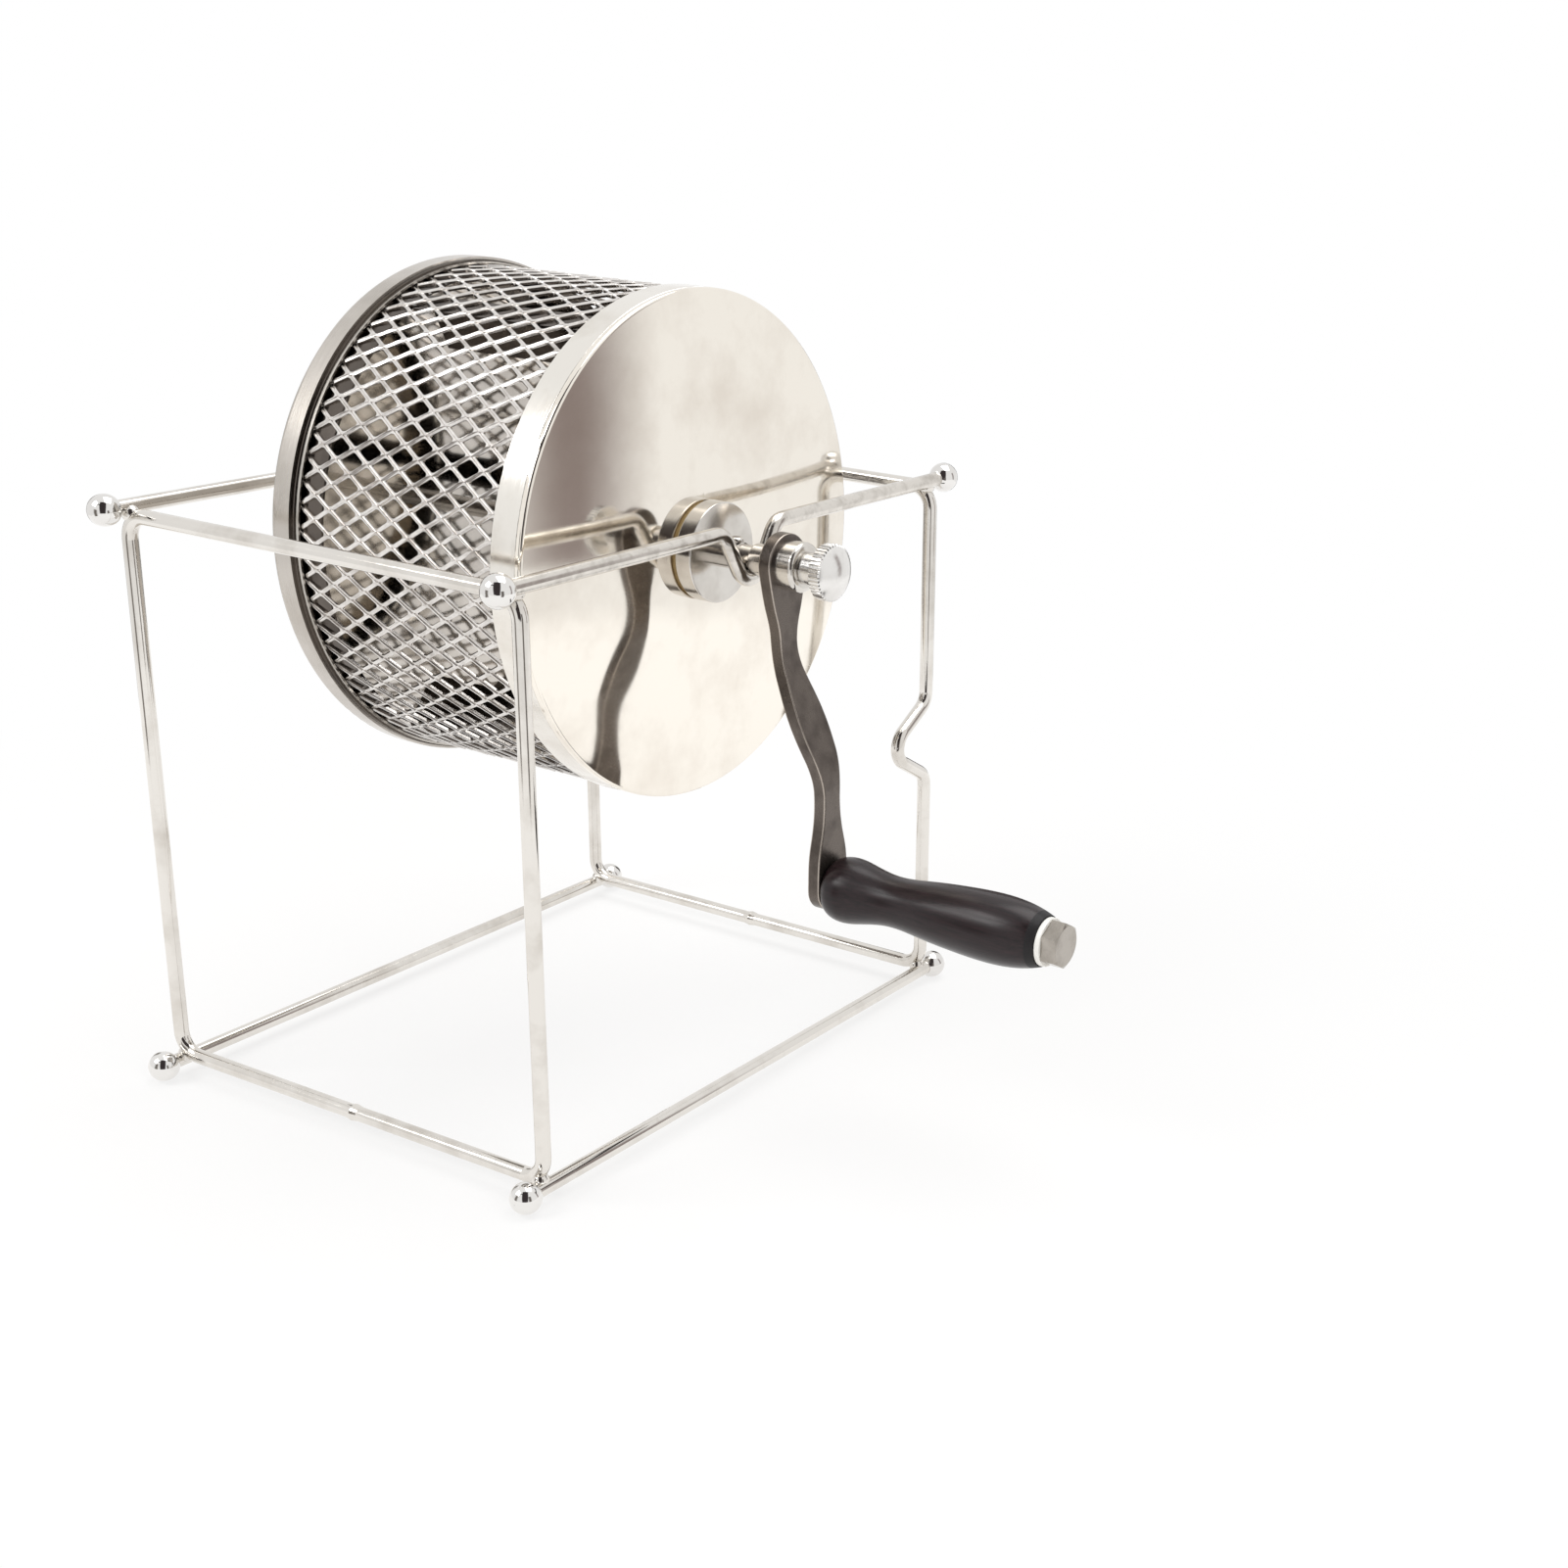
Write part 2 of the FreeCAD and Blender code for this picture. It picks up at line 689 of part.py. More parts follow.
def mesh_cell(along, angle, half_length, half_turn):
    """A diamond cutter that points outwards from the shaft's axis."""
    wires = []
    for radius in (place("mesh_inner") - size("sheet"), place("mesh_outer") + size("sheet")):
        spots = []
        for step, turn in ((-1, 0), (0, 1), (1, 0), (0, -1)):
            facing = angle + turn * half_turn
            spots.append(
                Vector(along + step * half_length, -radius * math.sin(facing), radius * math.cos(facing))
            )
        wires.append(Part.makePolygon(spots + spots[:1]))
    return Part.makeLoft(wires, True, True)


def mesh_shape():
    """Expanded sheet rolled into a drum: rows of diamonds, each row half a cell round from the last."""
    length = place("mesh_end") - place("mesh_start")
    inner = place("mesh_inner")
    outer = place("mesh_outer")
    along = Vector(1, 0, 0)
    start = Vector(place("mesh_start"), 0, 0)
    shell = Part.makeCylinder(outer, length, start, along)
    shell = shell.cut(Part.makeCylinder(inner, length, start, along))
    cells_round = int(size("mesh_cells_round"))
    rows = int(size("mesh_cell_rows"))
    half_pitch = size("mesh_visible_length") / rows
    half_turn = math.pi / cells_round
    slope = math.atan2(half_pitch, half_turn * outer)
    lost_length = size("mesh_strand") / 2 / math.cos(slope)
    lost_turn = size("mesh_strand") / 2 / math.sin(slope) / outer
    cells = []
    for row in range(1, rows):
        for count in range(cells_round):
            angle = (2 * count + row % 2) * half_turn
            spot = place("ring_front") + row * half_pitch
            cells.append(mesh_cell(spot, angle, half_pitch - lost_length, half_turn - lost_turn))
    return shell.cut(cells)


feature("drum_mesh", mesh_shape(), on_axis)

for count in range(int(size("vane_count"))):
    label = "agitator_vane_" + "abcdef"[count]
    vane = doc.addObject("PartDesign::Body", label)
    half_flange = "Sizes.vane_flange_width / 2"
    section = outline(
        vane,
        "YZ_Plane",
        [
            ("-" + half_flange, "Places.flange_radius"),
            (half_flange, "Places.flange_radius"),
            (half_flange, "Places.flange_radius - Sizes.vane_reach"),
            (half_flange + " - Sizes.sheet", "Places.flange_radius - Sizes.vane_reach"),
            (half_flange + " - Sizes.sheet", "Places.flange_radius - Sizes.sheet"),
            ("-" + half_flange, "Places.flange_radius - Sizes.sheet"),
        ],
    )
    strip = vane.newObject("PartDesign::Pad", label + "_strip")
    strip.Profile = section
    bind(strip, Length="Places.vane_length")
    section.Visibility = False
    facing = size("vane_first_angle") + 360 * count / size("vane_count")
    vane.Placement.Rotation = Rotation(Vector(1, 0, 0), facing)
    bind(vane, Placement__Base__x="Places.vane_start", Placement__Base__z="Sizes.axis_height")
    keep(vane, label)

# Far cap, which slides off the drum along the shaft

cap = turned(
    "far_cap",
    [
        ("Places.cap_back", "Places.shaft_running_bore"),
        ("Places.cap_back", "Places.cap_radius"),
        ("Places.cap_mouth", "Places.cap_radius"),
        ("Places.cap_mouth", "Places.cap_bore"),
        ("Places.cap_floor", "Places.cap_bore"),
        ("Places.cap_floor", "Places.shaft_running_bore"),
    ],
)
cap_rim = "min(Sizes.cap_rim_round; Sizes.cap_depth / 2)"
round_rims(cap, cap_rim, place("cap_bore") + size("edge_break"), to_x=place("cap_floor"))

cap_boss = ring(
    "far_cap_boss",
    "Places.cap_boss_end",
    "Places.cap_back",
    "Places.shaft_running_bore",
    "Sizes.cap_boss_dia / 2",
)
round_rims(cap_boss, "Sizes.edge_break", place("shaft_running_bore") + size("edge_break"))

# Crank


def arm_outline():
    """The arm's outline seen along the shaft, hanging straight down from the shaft's eye."""
    reach = size("crank_radius")
    eye = size("arm_eye_dia") / 2
    boss = size("arm_boss_dia") / 2
    half = [(-eye, 0.0)]
    for angle in (155, 130, 100, 70):
        turn = math.radians(angle)
        half.append((eye * math.cos(turn), eye * math.sin(turn)))
    half += [(reach * share, eye * wide) for share, wide in ARM_HALF_WIDTHS]
    for angle in (100, 75, 50, 25):
        turn = math.radians(angle)
        half.append((reach + boss * math.cos(turn), boss * math.sin(turn)))
    spots = [Vector(0, aside, -along) for along, aside in half]
    spots.append(Vector(0, 0, -reach - boss))
    spots += [Vector(0, -aside, -along) for along, aside in half[:0:-1]]
    curve = Part.BSplineCurve()
    curve.interpolate(Points=spots, PeriodicFlag=True)
    first, last = curve.FirstParameter, curve.LastParameter
    stops = [first + (last - first) * quarter / 4 for quarter in range(5)]
    return Part.Face(Part.Wire([curve.toShape(low, high) for low, high in zip(stops, stops[1:])]))


def arm_band():
    """The arm's bar seen from its side: it steps out away from the drum between two bends."""
    reach = size("crank_radius")
    thick = size("arm_thickness")
    offset = size("arm_offset")
    bend = size("arm_bend_radius")
    first, last = [reach * share for share in ARM_BEND_SHARES]
    shift = thick * math.tan(math.atan2(offset, last - first) / 2)

    def face_edges(x, rise, radii):
        return route_edges(
            [
                (Vector(x, 0, size("arm_eye_dia")), 0),
                (Vector(x, 0, rise - first), radii[0]),
                (Vector(x + offset, 0, rise - last), radii[1]),
                (Vector(x + offset, 0, -reach - size("arm_boss_dia")), 0),
            ]
        )

    rear = face_edges(0, 0, (bend + thick, bend))
    front = face_edges(thick, shift, (bend, bend + thick))
    over = segment(rear[0].Vertexes[0].Point, front[0].Vertexes[0].Point)
    under = segment(rear[-1].Vertexes[-1].Point, front[-1].Vertexes[-1].Point)
    return Part.Face(Part.Wire(Part.__sortEdges__(rear + front + [over, under])))


def is_rim(edge):
    """An edge along the arm's outline, and not one across the bar at a bend or in its wall."""
    box = edge.BoundBox
    across_bar = isinstance(edge.Curve, Part.Line) and box.YLength > max(box.XLength, box.ZLength)
    in_wall = box.YLength < 1e-6 and box.XLength > size("arm_thickness") / 2
    return not across_bar and not in_wall


def arm_shape():
    """The crank arm: a bent bar cut to its outline, bevelled all round and bored at both ends."""
    thick = size("arm_thickness")
    offset = size("arm_offset")
    eye = size("arm_eye_dia")
    along = Vector(1, 0, 0)
    prism = arm_outline().extrude(along * (offset + 2 * thick))
    prism.translate(-along * thick / 2)
    slab = arm_band().extrude(Vector(0, 2 * eye, 0))
    slab.translate(Vector(0, -eye, 0))
    body = slab.common(prism).Solids[0]
    body = body.makeFillet(size("arm_bevel"), [edge for edge in body.Edges if is_rim(edge)])
    eye_bore = Part.makeCylinder(place("shaft_bore"), thick, Vector(0, 0, 0), along)
    bolt_bore = place("bolt_radius") + size("push_fit")
    bolt_spot = Vector(offset, 0, -size("crank_radius"))
    return body.cut([eye_bore, Part.makeCylinder(bolt_bore, thick, bolt_spot, along)])


crank_turn = Rotation(Vector(1, 0, 0), size("crank_rest_angle"))
crank_place = Placement(Vector(place("arm_back"), 0, size("axis_height")), crank_turn)
feature("crank_arm", arm_shape(), crank_place)

barrel = ring(
    "barrel_collar",
    "Places.arm_front",
    "Places.barrel_front",
    "Places.shaft_bore",
    "Sizes.barrel_dia / 2",
)
barrel_middle = place("barrel_front") - size("barrel_length") / 2
round_rims(barrel, "Sizes.barrel_round", place("shaft_bore") + size("edge_break"), from_x=barrel_middle)

nut = turned(
    "thumb_nut",
    [
        ("Places.nut_back", "Places.shaft_running_bore"),
        ("Places.nut_back", "Sizes.nut_neck_dia / 2"),
        ("Places.knurl_back", "Sizes.nut_neck_dia / 2"),
        ("Places.knurl_back", "Sizes.nut_knurl_dia / 2"),
        ("Places.knurl_front", "Sizes.nut_knurl_dia / 2"),
        ("Places.knurl_front", "Sizes.nut_dome_dia / 2"),
        ("Places.nut_tip", "Sizes.nut_dome_dia / 2"),
        ("Places.nut_tip", "0"),
        ("Places.nut_bore_end", "0"),
        ("Places.nut_bore_end", "Places.shaft_running_bore"),
    ],
)
dome_middle = place("nut_tip") - size("nut_dome_height") / 2
dome_round = "Sizes.nut_dome_height - Sizes.edge_break"
round_rims(nut, dome_round, place("shaft_running_bore"), from_x=dome_middle)

tooth_gap = outline(
    nut,
    "YZ_Plane",
    [
        ("-Sizes.nut_knurl_depth", "Sizes.nut_knurl_dia / 2 + Sizes.nut_knurl_depth"),
        ("0", "Sizes.nut_knurl_dia / 2 - Sizes.nut_knurl_depth"),
        ("Sizes.nut_knurl_depth", "Sizes.nut_knurl_dia / 2 + Sizes.nut_knurl_depth"),
    ],
)
unknurled = nut.Tip.Shape.Volume
cut = nut.newObject("PartDesign::Pocket", "knurl_cut")
cut.Profile = tooth_gap
cut.Type = "ThroughAll"
cut.Midplane = True
tooth_gap.Visibility = False
doc.recompute()
teeth = nut.newObject("PartDesign::PolarPattern", "knurl_teeth")
teeth.Originals = [cut]
teeth.Axis = (tooth_gap, ["N_Axis"])
teeth.Angle = 360
bind(teeth, Occurrences="Sizes.nut_knurl_teeth")
nut.Tip = teeth
doc.recompute()
if nut.Tip.Shape.Volume >= unknurled:
    raise RuntimeError("the knurl of the thumb nut cuts nothing")

# Grip, on its bolt at the end of the crank


def grip_shape():
    """The turned wooden grip, bored for its bolt."""
    length = size("grip_length")
    widest = size("grip_dia") / 2
    bore = place("bolt_radius") + size("running_fit")
    start = Vector(0, 0, widest * GRIP_START_SHARE)
    end = Vector(length, 0, widest * GRIP_END_SHARE)
    spots = [start] + [Vector(length * share, 0, widest * wide) for share, wide in GRIP_OUTLINE] + [end]
    profile = Part.BSplineCurve()
    profile.interpolate(Points=spots)
    bore_start = Vector(0, 0, bore)
    bore_end = Vector(length, 0, bore)
    return revolved(
        [profile.toShape(), segment(end, bore_end), segment(bore_end, bore_start), segment(bore_start, start)]
    )


def at_grip(x):
    """The place of a piece on the grip's axis."""
    return Placement(Vector(x, place("grip_y"), place("grip_z")), Rotation())


feature("grip", grip_shape(), at_grip(place("grip_start")))


def washer_shape():
    """The plastic washer between the grip and the bolt's head."""
    thick = size("washer_thickness")
    start = Vector(0, 0, 0)
    along = Vector(1, 0, 0)
    body = Part.makeCylinder(size("washer_dia") / 2, thick, start, along)
    rims = [edge for edge in body.Edges if isinstance(edge.Curve, Part.Circle)]
    bore = Part.makeCylinder(place("bolt_radius") + size("push_fit"), thick, start, along)
    return body.makeFillet(size("edge_break"), rims).cut(bore)


feature("grip_washer", washer_shape(), at_grip(place("washer_back")))

across_x = Rotation(Vector(0, 1, 0), 90)
head = doc.addObject("Part::Prism", "bolt_hexagon")
head.Polygon = 6
bind(head, Circumradius="Sizes.bolt_head_flats / sqrt(3)", Height="Sizes.bolt_head_height")
crown = doc.addObject("Part::Cone", "bolt_crown")
bind(
    crown,
    Radius1="Sizes.bolt_head_flats / 2 + 2 * Sizes.bolt_head_height",
    Radius2="Sizes.bolt_head_flats / 2 - Sizes.edge_break / 2",
    Height="Sizes.bolt_head_height",
)
bolt_head = doc.addObject("Part::Common", "bolt_head")
bolt_head.Base = head
bolt_head.Tool = crown
shank = doc.addObject("Part::Cylinder", "bolt_shank")
bind(
    shank,
    Radius="Places.bolt_radius",
    Height="Places.bolt_length",
    Placement__Base__z="-Places.bolt_length",
)
bolt = doc.addObject("Part::Fuse", "grip_bolt")
bolt.Base = bolt_head
bolt.Tool = shank
bolt.Placement.Rotation = across_x
bind(
    bolt,
    Placement__Base__x="Places.washer_front",
    Placement__Base__y="Places.grip_y",
    Placement__Base__z="Places.grip_z",
)
keep(bolt, "grip_bolt")

# Checks, and one file for each sub-part

doc.recompute()

for item in doc.Objects:
    if "Invalid" in item.State or "Error" in item.State:
        raise RuntimeError("%s did not recompute" % item.Label)
for item in sub_parts:
    if item.Shape.isNull() or not item.Shape.isValid() or not item.Shape.Solids:
        raise RuntimeError("%s has no valid solid" % item.Label)

os.makedirs("parts", exist_ok=True)
for item in sub_parts:
    item.Shape.exportStep("parts/%s.step" % item.Label)
    print("%-18s %d solid(s) %10.1f mm3" % (item.Label, len(item.Shape.Solids), item.Shape.Volume))
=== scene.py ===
"""Looks of a hand cranked coffee roaster: a mesh drum that turns in a bent wire stand."""

import json
import logging
import math
from dataclasses import dataclass
from enum import Enum
from typing import Any, Protocol

import bpy
from mathutils import Matrix, Vector

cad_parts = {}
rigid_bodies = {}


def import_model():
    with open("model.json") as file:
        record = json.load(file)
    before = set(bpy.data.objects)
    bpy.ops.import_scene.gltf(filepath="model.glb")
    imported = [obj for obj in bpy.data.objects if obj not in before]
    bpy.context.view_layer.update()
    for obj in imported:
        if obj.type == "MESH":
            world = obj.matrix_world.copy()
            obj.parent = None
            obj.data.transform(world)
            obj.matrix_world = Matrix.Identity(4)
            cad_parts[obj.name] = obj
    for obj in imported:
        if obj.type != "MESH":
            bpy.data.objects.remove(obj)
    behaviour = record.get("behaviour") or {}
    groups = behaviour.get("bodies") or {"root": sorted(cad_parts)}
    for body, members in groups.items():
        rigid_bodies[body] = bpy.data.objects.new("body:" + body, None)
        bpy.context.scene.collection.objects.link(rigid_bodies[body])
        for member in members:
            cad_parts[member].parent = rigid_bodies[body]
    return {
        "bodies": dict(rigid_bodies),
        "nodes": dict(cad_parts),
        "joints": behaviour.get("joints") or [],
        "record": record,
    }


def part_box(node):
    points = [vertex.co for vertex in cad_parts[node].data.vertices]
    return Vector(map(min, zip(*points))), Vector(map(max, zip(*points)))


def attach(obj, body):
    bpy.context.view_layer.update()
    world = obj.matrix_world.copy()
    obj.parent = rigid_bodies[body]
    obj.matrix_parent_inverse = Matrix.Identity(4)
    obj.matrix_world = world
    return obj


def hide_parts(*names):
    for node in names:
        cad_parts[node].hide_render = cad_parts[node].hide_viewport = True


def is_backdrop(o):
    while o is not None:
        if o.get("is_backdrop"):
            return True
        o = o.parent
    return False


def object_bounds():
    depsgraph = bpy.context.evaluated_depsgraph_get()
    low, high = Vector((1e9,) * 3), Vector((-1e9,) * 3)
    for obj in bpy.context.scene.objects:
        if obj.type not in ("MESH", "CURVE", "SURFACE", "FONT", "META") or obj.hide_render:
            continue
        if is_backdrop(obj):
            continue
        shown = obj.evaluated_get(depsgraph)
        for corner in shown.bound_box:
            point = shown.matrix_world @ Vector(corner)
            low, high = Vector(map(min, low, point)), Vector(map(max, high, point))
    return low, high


LOG = logging.getLogger("roaster")
MM = 0.001

Item = bpy.types.Object
Material = bpy.types.Material
Socket = bpy.types.NodeSocket
Tree = bpy.types.NodeTree


def to_linear(hex_colour: str) -> tuple[float, float, float, float]:
    """Turn an sRGB hex colour into a linear one.

    Args:
        hex_colour: six hex digits, such as "D8D4CE".

    Returns:
        The linear red, green, blue and an alpha of one.
    """
    parts = [int(hex_colour[start:start + 2], 16) / 255 for start in (0, 2, 4)]
    linear = [part / 12.92 if part <= 0.04045 else ((part + 0.055) / 1.055) ** 2.4 for part in parts]
    return linear[0], linear[1], linear[2], 1.0


def add_node(tree: Tree, kind: str, inputs: dict[Any, Any], **settings: Any) -> bpy.types.Node:
    """Add a node with its settings, and set or link its inputs.

    Args:
        tree: the node tree to add to.
        kind: the node's type name.
        inputs: socket name or number to a value or to the socket that feeds it.
        settings: properties of the node.

    Returns:
        The new node.
    """
    node = tree.nodes.new(kind)
    for name, value in settings.items():
        setattr(node, name, value)
    for key, value in inputs.items():
        if isinstance(value, Socket):
            tree.links.new(value, node.inputs[key])
        else:
            node.inputs[key].default_value = value
    return node


def start_material(name: str) -> tuple[Material, Tree, Socket]:
    """Start a material that is placed by its object's own coordinates.

    Args:
        name: the material's name.

    Returns:
        The material, its node tree and the object coordinates.
    """
    material = bpy.data.materials.new(name)
    material.use_nodes = True
    tree = material.node_tree
    return material, tree, add_node(tree, "ShaderNodeTexCoord", {}).outputs["Object"]


def round_shaft(tree: Tree, centred: Socket) -> tuple[Socket, Socket]:
    """Split coordinates into the way along the shaft and the distance from it.

    Args:
        tree: the material's node tree.
        centred: object coordinates measured from the shaft.

    Returns:
        The way along the shaft and the distance from it.
    """
    apart = add_node(tree, "ShaderNodeSeparateXYZ", {"Vector": centred}).outputs
    flat = add_node(tree, "ShaderNodeCombineXYZ", {"Y": apart["Y"], "Z": apart["Z"]}).outputs[0]
    radius = add_node(tree, "ShaderNodeVectorMath", {0: flat}, operation="LENGTH").outputs["Value"]
    return apart["X"], radius


class Grain(Enum):
    """How a metal's surface was made, which sets the pattern that it shows."""

    DRAWN = "drawn through a die"
    TURNED = "turned in a lathe"
    BRUSHED = "brushed round the drum"
    POLISHED = "polished"
    CAST = "cast and tumbled"


class Finish(Protocol):
    """What every finish offers."""

    name: str

    def build(self, axis_height: float) -> Material:
        """Build the material."""


# Patch noise at which clean metal starts to turn dull, and at which it is all dull.
DULL_FROM, DULL_BY = 0.45, 0.75
# Sum of patch and mark noise at the smoothest and at the roughest spot.
WEAR_LOW, WEAR_HIGH = 0.6, 1.4
SMOOTHEST = 0.01
MIRROR_ROUGHNESS = 0.05
# Width of the step from a mirror polished flat to its brushed rim, in millimetres.
MIRROR_STEP_MM = 1.0
# How squarely a face looks along the shaft: 0 on the casting's side walls, 1 on its flat faces.
# Between these pairs lie its rounded edges, which are painted lighter.
SIDE_WALL = (0.12, 0.40)
FLAT_FACE = (0.84, 0.62)
# Brush marks are this much shorter across than round the drum.
BRUSH_STRETCH = (1.0, 0.03, 0.03)
# A quarter turn, so that highlights stretch across the turned rings.
ACROSS_RINGS = 0.25


@dataclass(frozen=True)
class Metal:
    """A metal finish.

    Attributes:
        name: the material's name.
        colour: sRGB hex of the clean metal.
        stain: sRGB hex of its dull patches.
        roughness: mean roughness.
        spread: how far the roughness wanders either side.
        grain: how the surface was made.
        grain_mm: size of the marks that this leaves.
        relief_mm: depth of those marks.
        patch_mm: size of the dull patches.
        metallic: share of metal in the shader.
        stretch: how far highlights stretch across turned rings, from 0 to 1.
        mirror_mm: radius round the shaft inside which the sheet is mirror polished.
        edge_wear_and_highlight: sRGB hex of the rounded edges, rubbed bright by handling and painted lighter
            as a highlight.
    """

    name: str
    colour: str
    stain: str
    roughness: float
    spread: float
    grain: Grain
    grain_mm: float
    relief_mm: float
    patch_mm: float = 25.0
    metallic: float = 1.0
    stretch: float = 0.0
    mirror_mm: float = 0.0
    edge_wear_and_highlight: str = ""

    def build(self, axis_height: float) -> Material:
        """Build the material.

        Args:
            axis_height: height of the drum's shaft, which turned and brushed marks run round.

        Returns:
            The finished material.
        """
        material, tree, place = start_material(self.name)
        shader = tree.nodes["Principled BSDF"]
        centred = add_node(
            tree, "ShaderNodeMapping", {"Vector": place, "Location": (0, 0, -axis_height)}
        ).outputs["Vector"]
        patches = add_node(
            tree,
            "ShaderNodeTexNoise",
            {"Vector": place, "Scale": 1 / (self.patch_mm * MM), "Detail": 4.0, "Roughness": 0.6},
        ).outputs["Fac"]
        marks = self.marks(tree, place, centred)
        share = add_node(
            tree, "ShaderNodeMapRange", {"Value": patches, "From Min": DULL_FROM, "From Max": DULL_BY}
        ).outputs["Result"]
        colour = add_node(
            tree,
            "ShaderNodeMix",
            {0: share, 6: to_linear(self.colour), 7: to_linear(self.stain)},
            data_type="RGBA",
        ).outputs[2]
        both = add_node(tree, "ShaderNodeMath", {0: patches, 1: marks}, operation="ADD").outputs["Value"]
        rough = add_node(
            tree,
            "ShaderNodeMapRange",
            {
                "Value": both,
                "From Min": WEAR_LOW,
                "From Max": WEAR_HIGH,
                "To Min": max(self.roughness - self.spread, SMOOTHEST),
                "To Max": self.roughness + self.spread,
            },
        ).outputs["Result"]
        if self.mirror_mm:
            rough = self.mirror_inside(tree, centred, rough)
        # Rounded edges painted lighter: rubbed wear and a painted highlight along the bevels.
        if self.edge_wear_and_highlight:
            colour = self.brighten_edges_wear_and_highlight(tree, colour)
        bump = add_node(
            tree, "ShaderNodeBump", {"Height": marks, "Strength": 1.0, "Distance": self.relief_mm * MM}
        ).outputs["Normal"]
        if self.stretch:
            rings = add_node(tree, "ShaderNodeTangent", {}, direction_type="RADIAL", axis="X")
            tree.links.new(rings.outputs["Tangent"], shader.inputs["Tangent"])
            shader.inputs["Anisotropic"].default_value = self.stretch
            shader.inputs["Anisotropic Rotation"].default_value = ACROSS_RINGS
        shader.inputs["Metallic"].default_value = self.metallic
        tree.links.new(colour, shader.inputs["Base Color"])
        tree.links.new(rough, shader.inputs["Roughness"])
        tree.links.new(bump, shader.inputs["Normal"])
        return material

    def mirror_inside(self, tree: Tree, centred: Socket, rough: Socket) -> Socket:
        """Polish the flat middle of a pressed end and leave its rim as brushed.

        Args:
            tree: the material's node tree.
            centred: object coordinates measured from the shaft.
            rough: the rim's roughness.

        Returns:
            The roughness of the whole pressing.
        """
        radius = round_shaft(tree, centred)[1]
        rim = add_node(
            tree,
            "ShaderNodeMapRange",
            {
                "Value": radius,
                "From Min": (self.mirror_mm - MIRROR_STEP_MM) * MM,
                "From Max": self.mirror_mm * MM,
            },
        ).outputs["Result"]
        return add_node(
            tree, "ShaderNodeMix", {0: rim, 2: MIRROR_ROUGHNESS, 3: rough}, data_type="FLOAT"
        ).outputs[0]

    def brighten_edges_wear_and_highlight(self, tree: Tree, colour: Socket) -> Socket:
        """Brighten the rounded edges, which face neither along the shaft nor across it: rubbed wear and a
        painted highlight.

        Args:
            tree: the material's node tree.
            colour: the colour away from the edges.

        Returns:
            The colour with its bright edges.
        """
        facing = add_node(tree, "ShaderNodeTexCoord", {}).outputs["Normal"]
        along = add_node(tree, "ShaderNodeSeparateXYZ", {"Vector": facing}).outputs["X"]
        tilt = add_node(tree, "ShaderNodeMath", {0: along}, operation="ABSOLUTE").outputs[0]
        limits = [
            add_node(tree, "ShaderNodeMapRange", {"Value": tilt, "From Min": start, "From Max": end})
            for start, end in (SIDE_WALL, FLAT_FACE)
        ]
        edge = add_node(
            tree,
            "ShaderNodeMath",
            {0: limits[0].outputs["Result"], 1: limits[1].outputs["Result"]},
            operation="MULTIPLY",
        ).outputs[0]
        return add_node(
            tree, "ShaderNodeMix", {0: edge, 6: colour, 7: to_linear(self.edge_wear_and_highlight)}, data_type="RGBA"
        ).outputs[2]

    def marks(self, tree: Tree, place: Socket, centred: Socket) -> Socket:
        """Make the pattern that the tool left.

        Args:
            tree: the material's node tree.
            place: the object coordinates.
            centred: the same, measured from the drum's shaft.

        Returns:
            The socket with the pattern's height.
        """
        scale = 1 / (self.grain_mm * MM)
        if self.grain is Grain.TURNED:
            along, radius = round_shaft(tree, centred)
            path = add_node(tree, "ShaderNodeMath", {0: along, 1: radius}, operation="ADD").outputs["Value"]
            return add_node(
                tree, "ShaderNodeTexNoise", {"W": path, "Scale": scale, "Detail": 2.0}, noise_dimensions="1D"
            ).outputs["Fac"]
        if self.grain is Grain.BRUSHED:
            stretched = add_node(
                tree, "ShaderNodeMapping", {"Vector": centred, "Scale": BRUSH_STRETCH}
            ).outputs["Vector"]
            return add_node(
                tree, "ShaderNodeTexNoise", {"Vector": stretched, "Scale": scale, "Detail": 3.0}
            ).outputs["Fac"]
        detail = 5.0 if self.grain is Grain.CAST else 2.0
        return add_node(
            tree, "ShaderNodeTexNoise", {"Vector": place, "Scale": scale, "Detail": detail}
        ).outputs["Fac"]


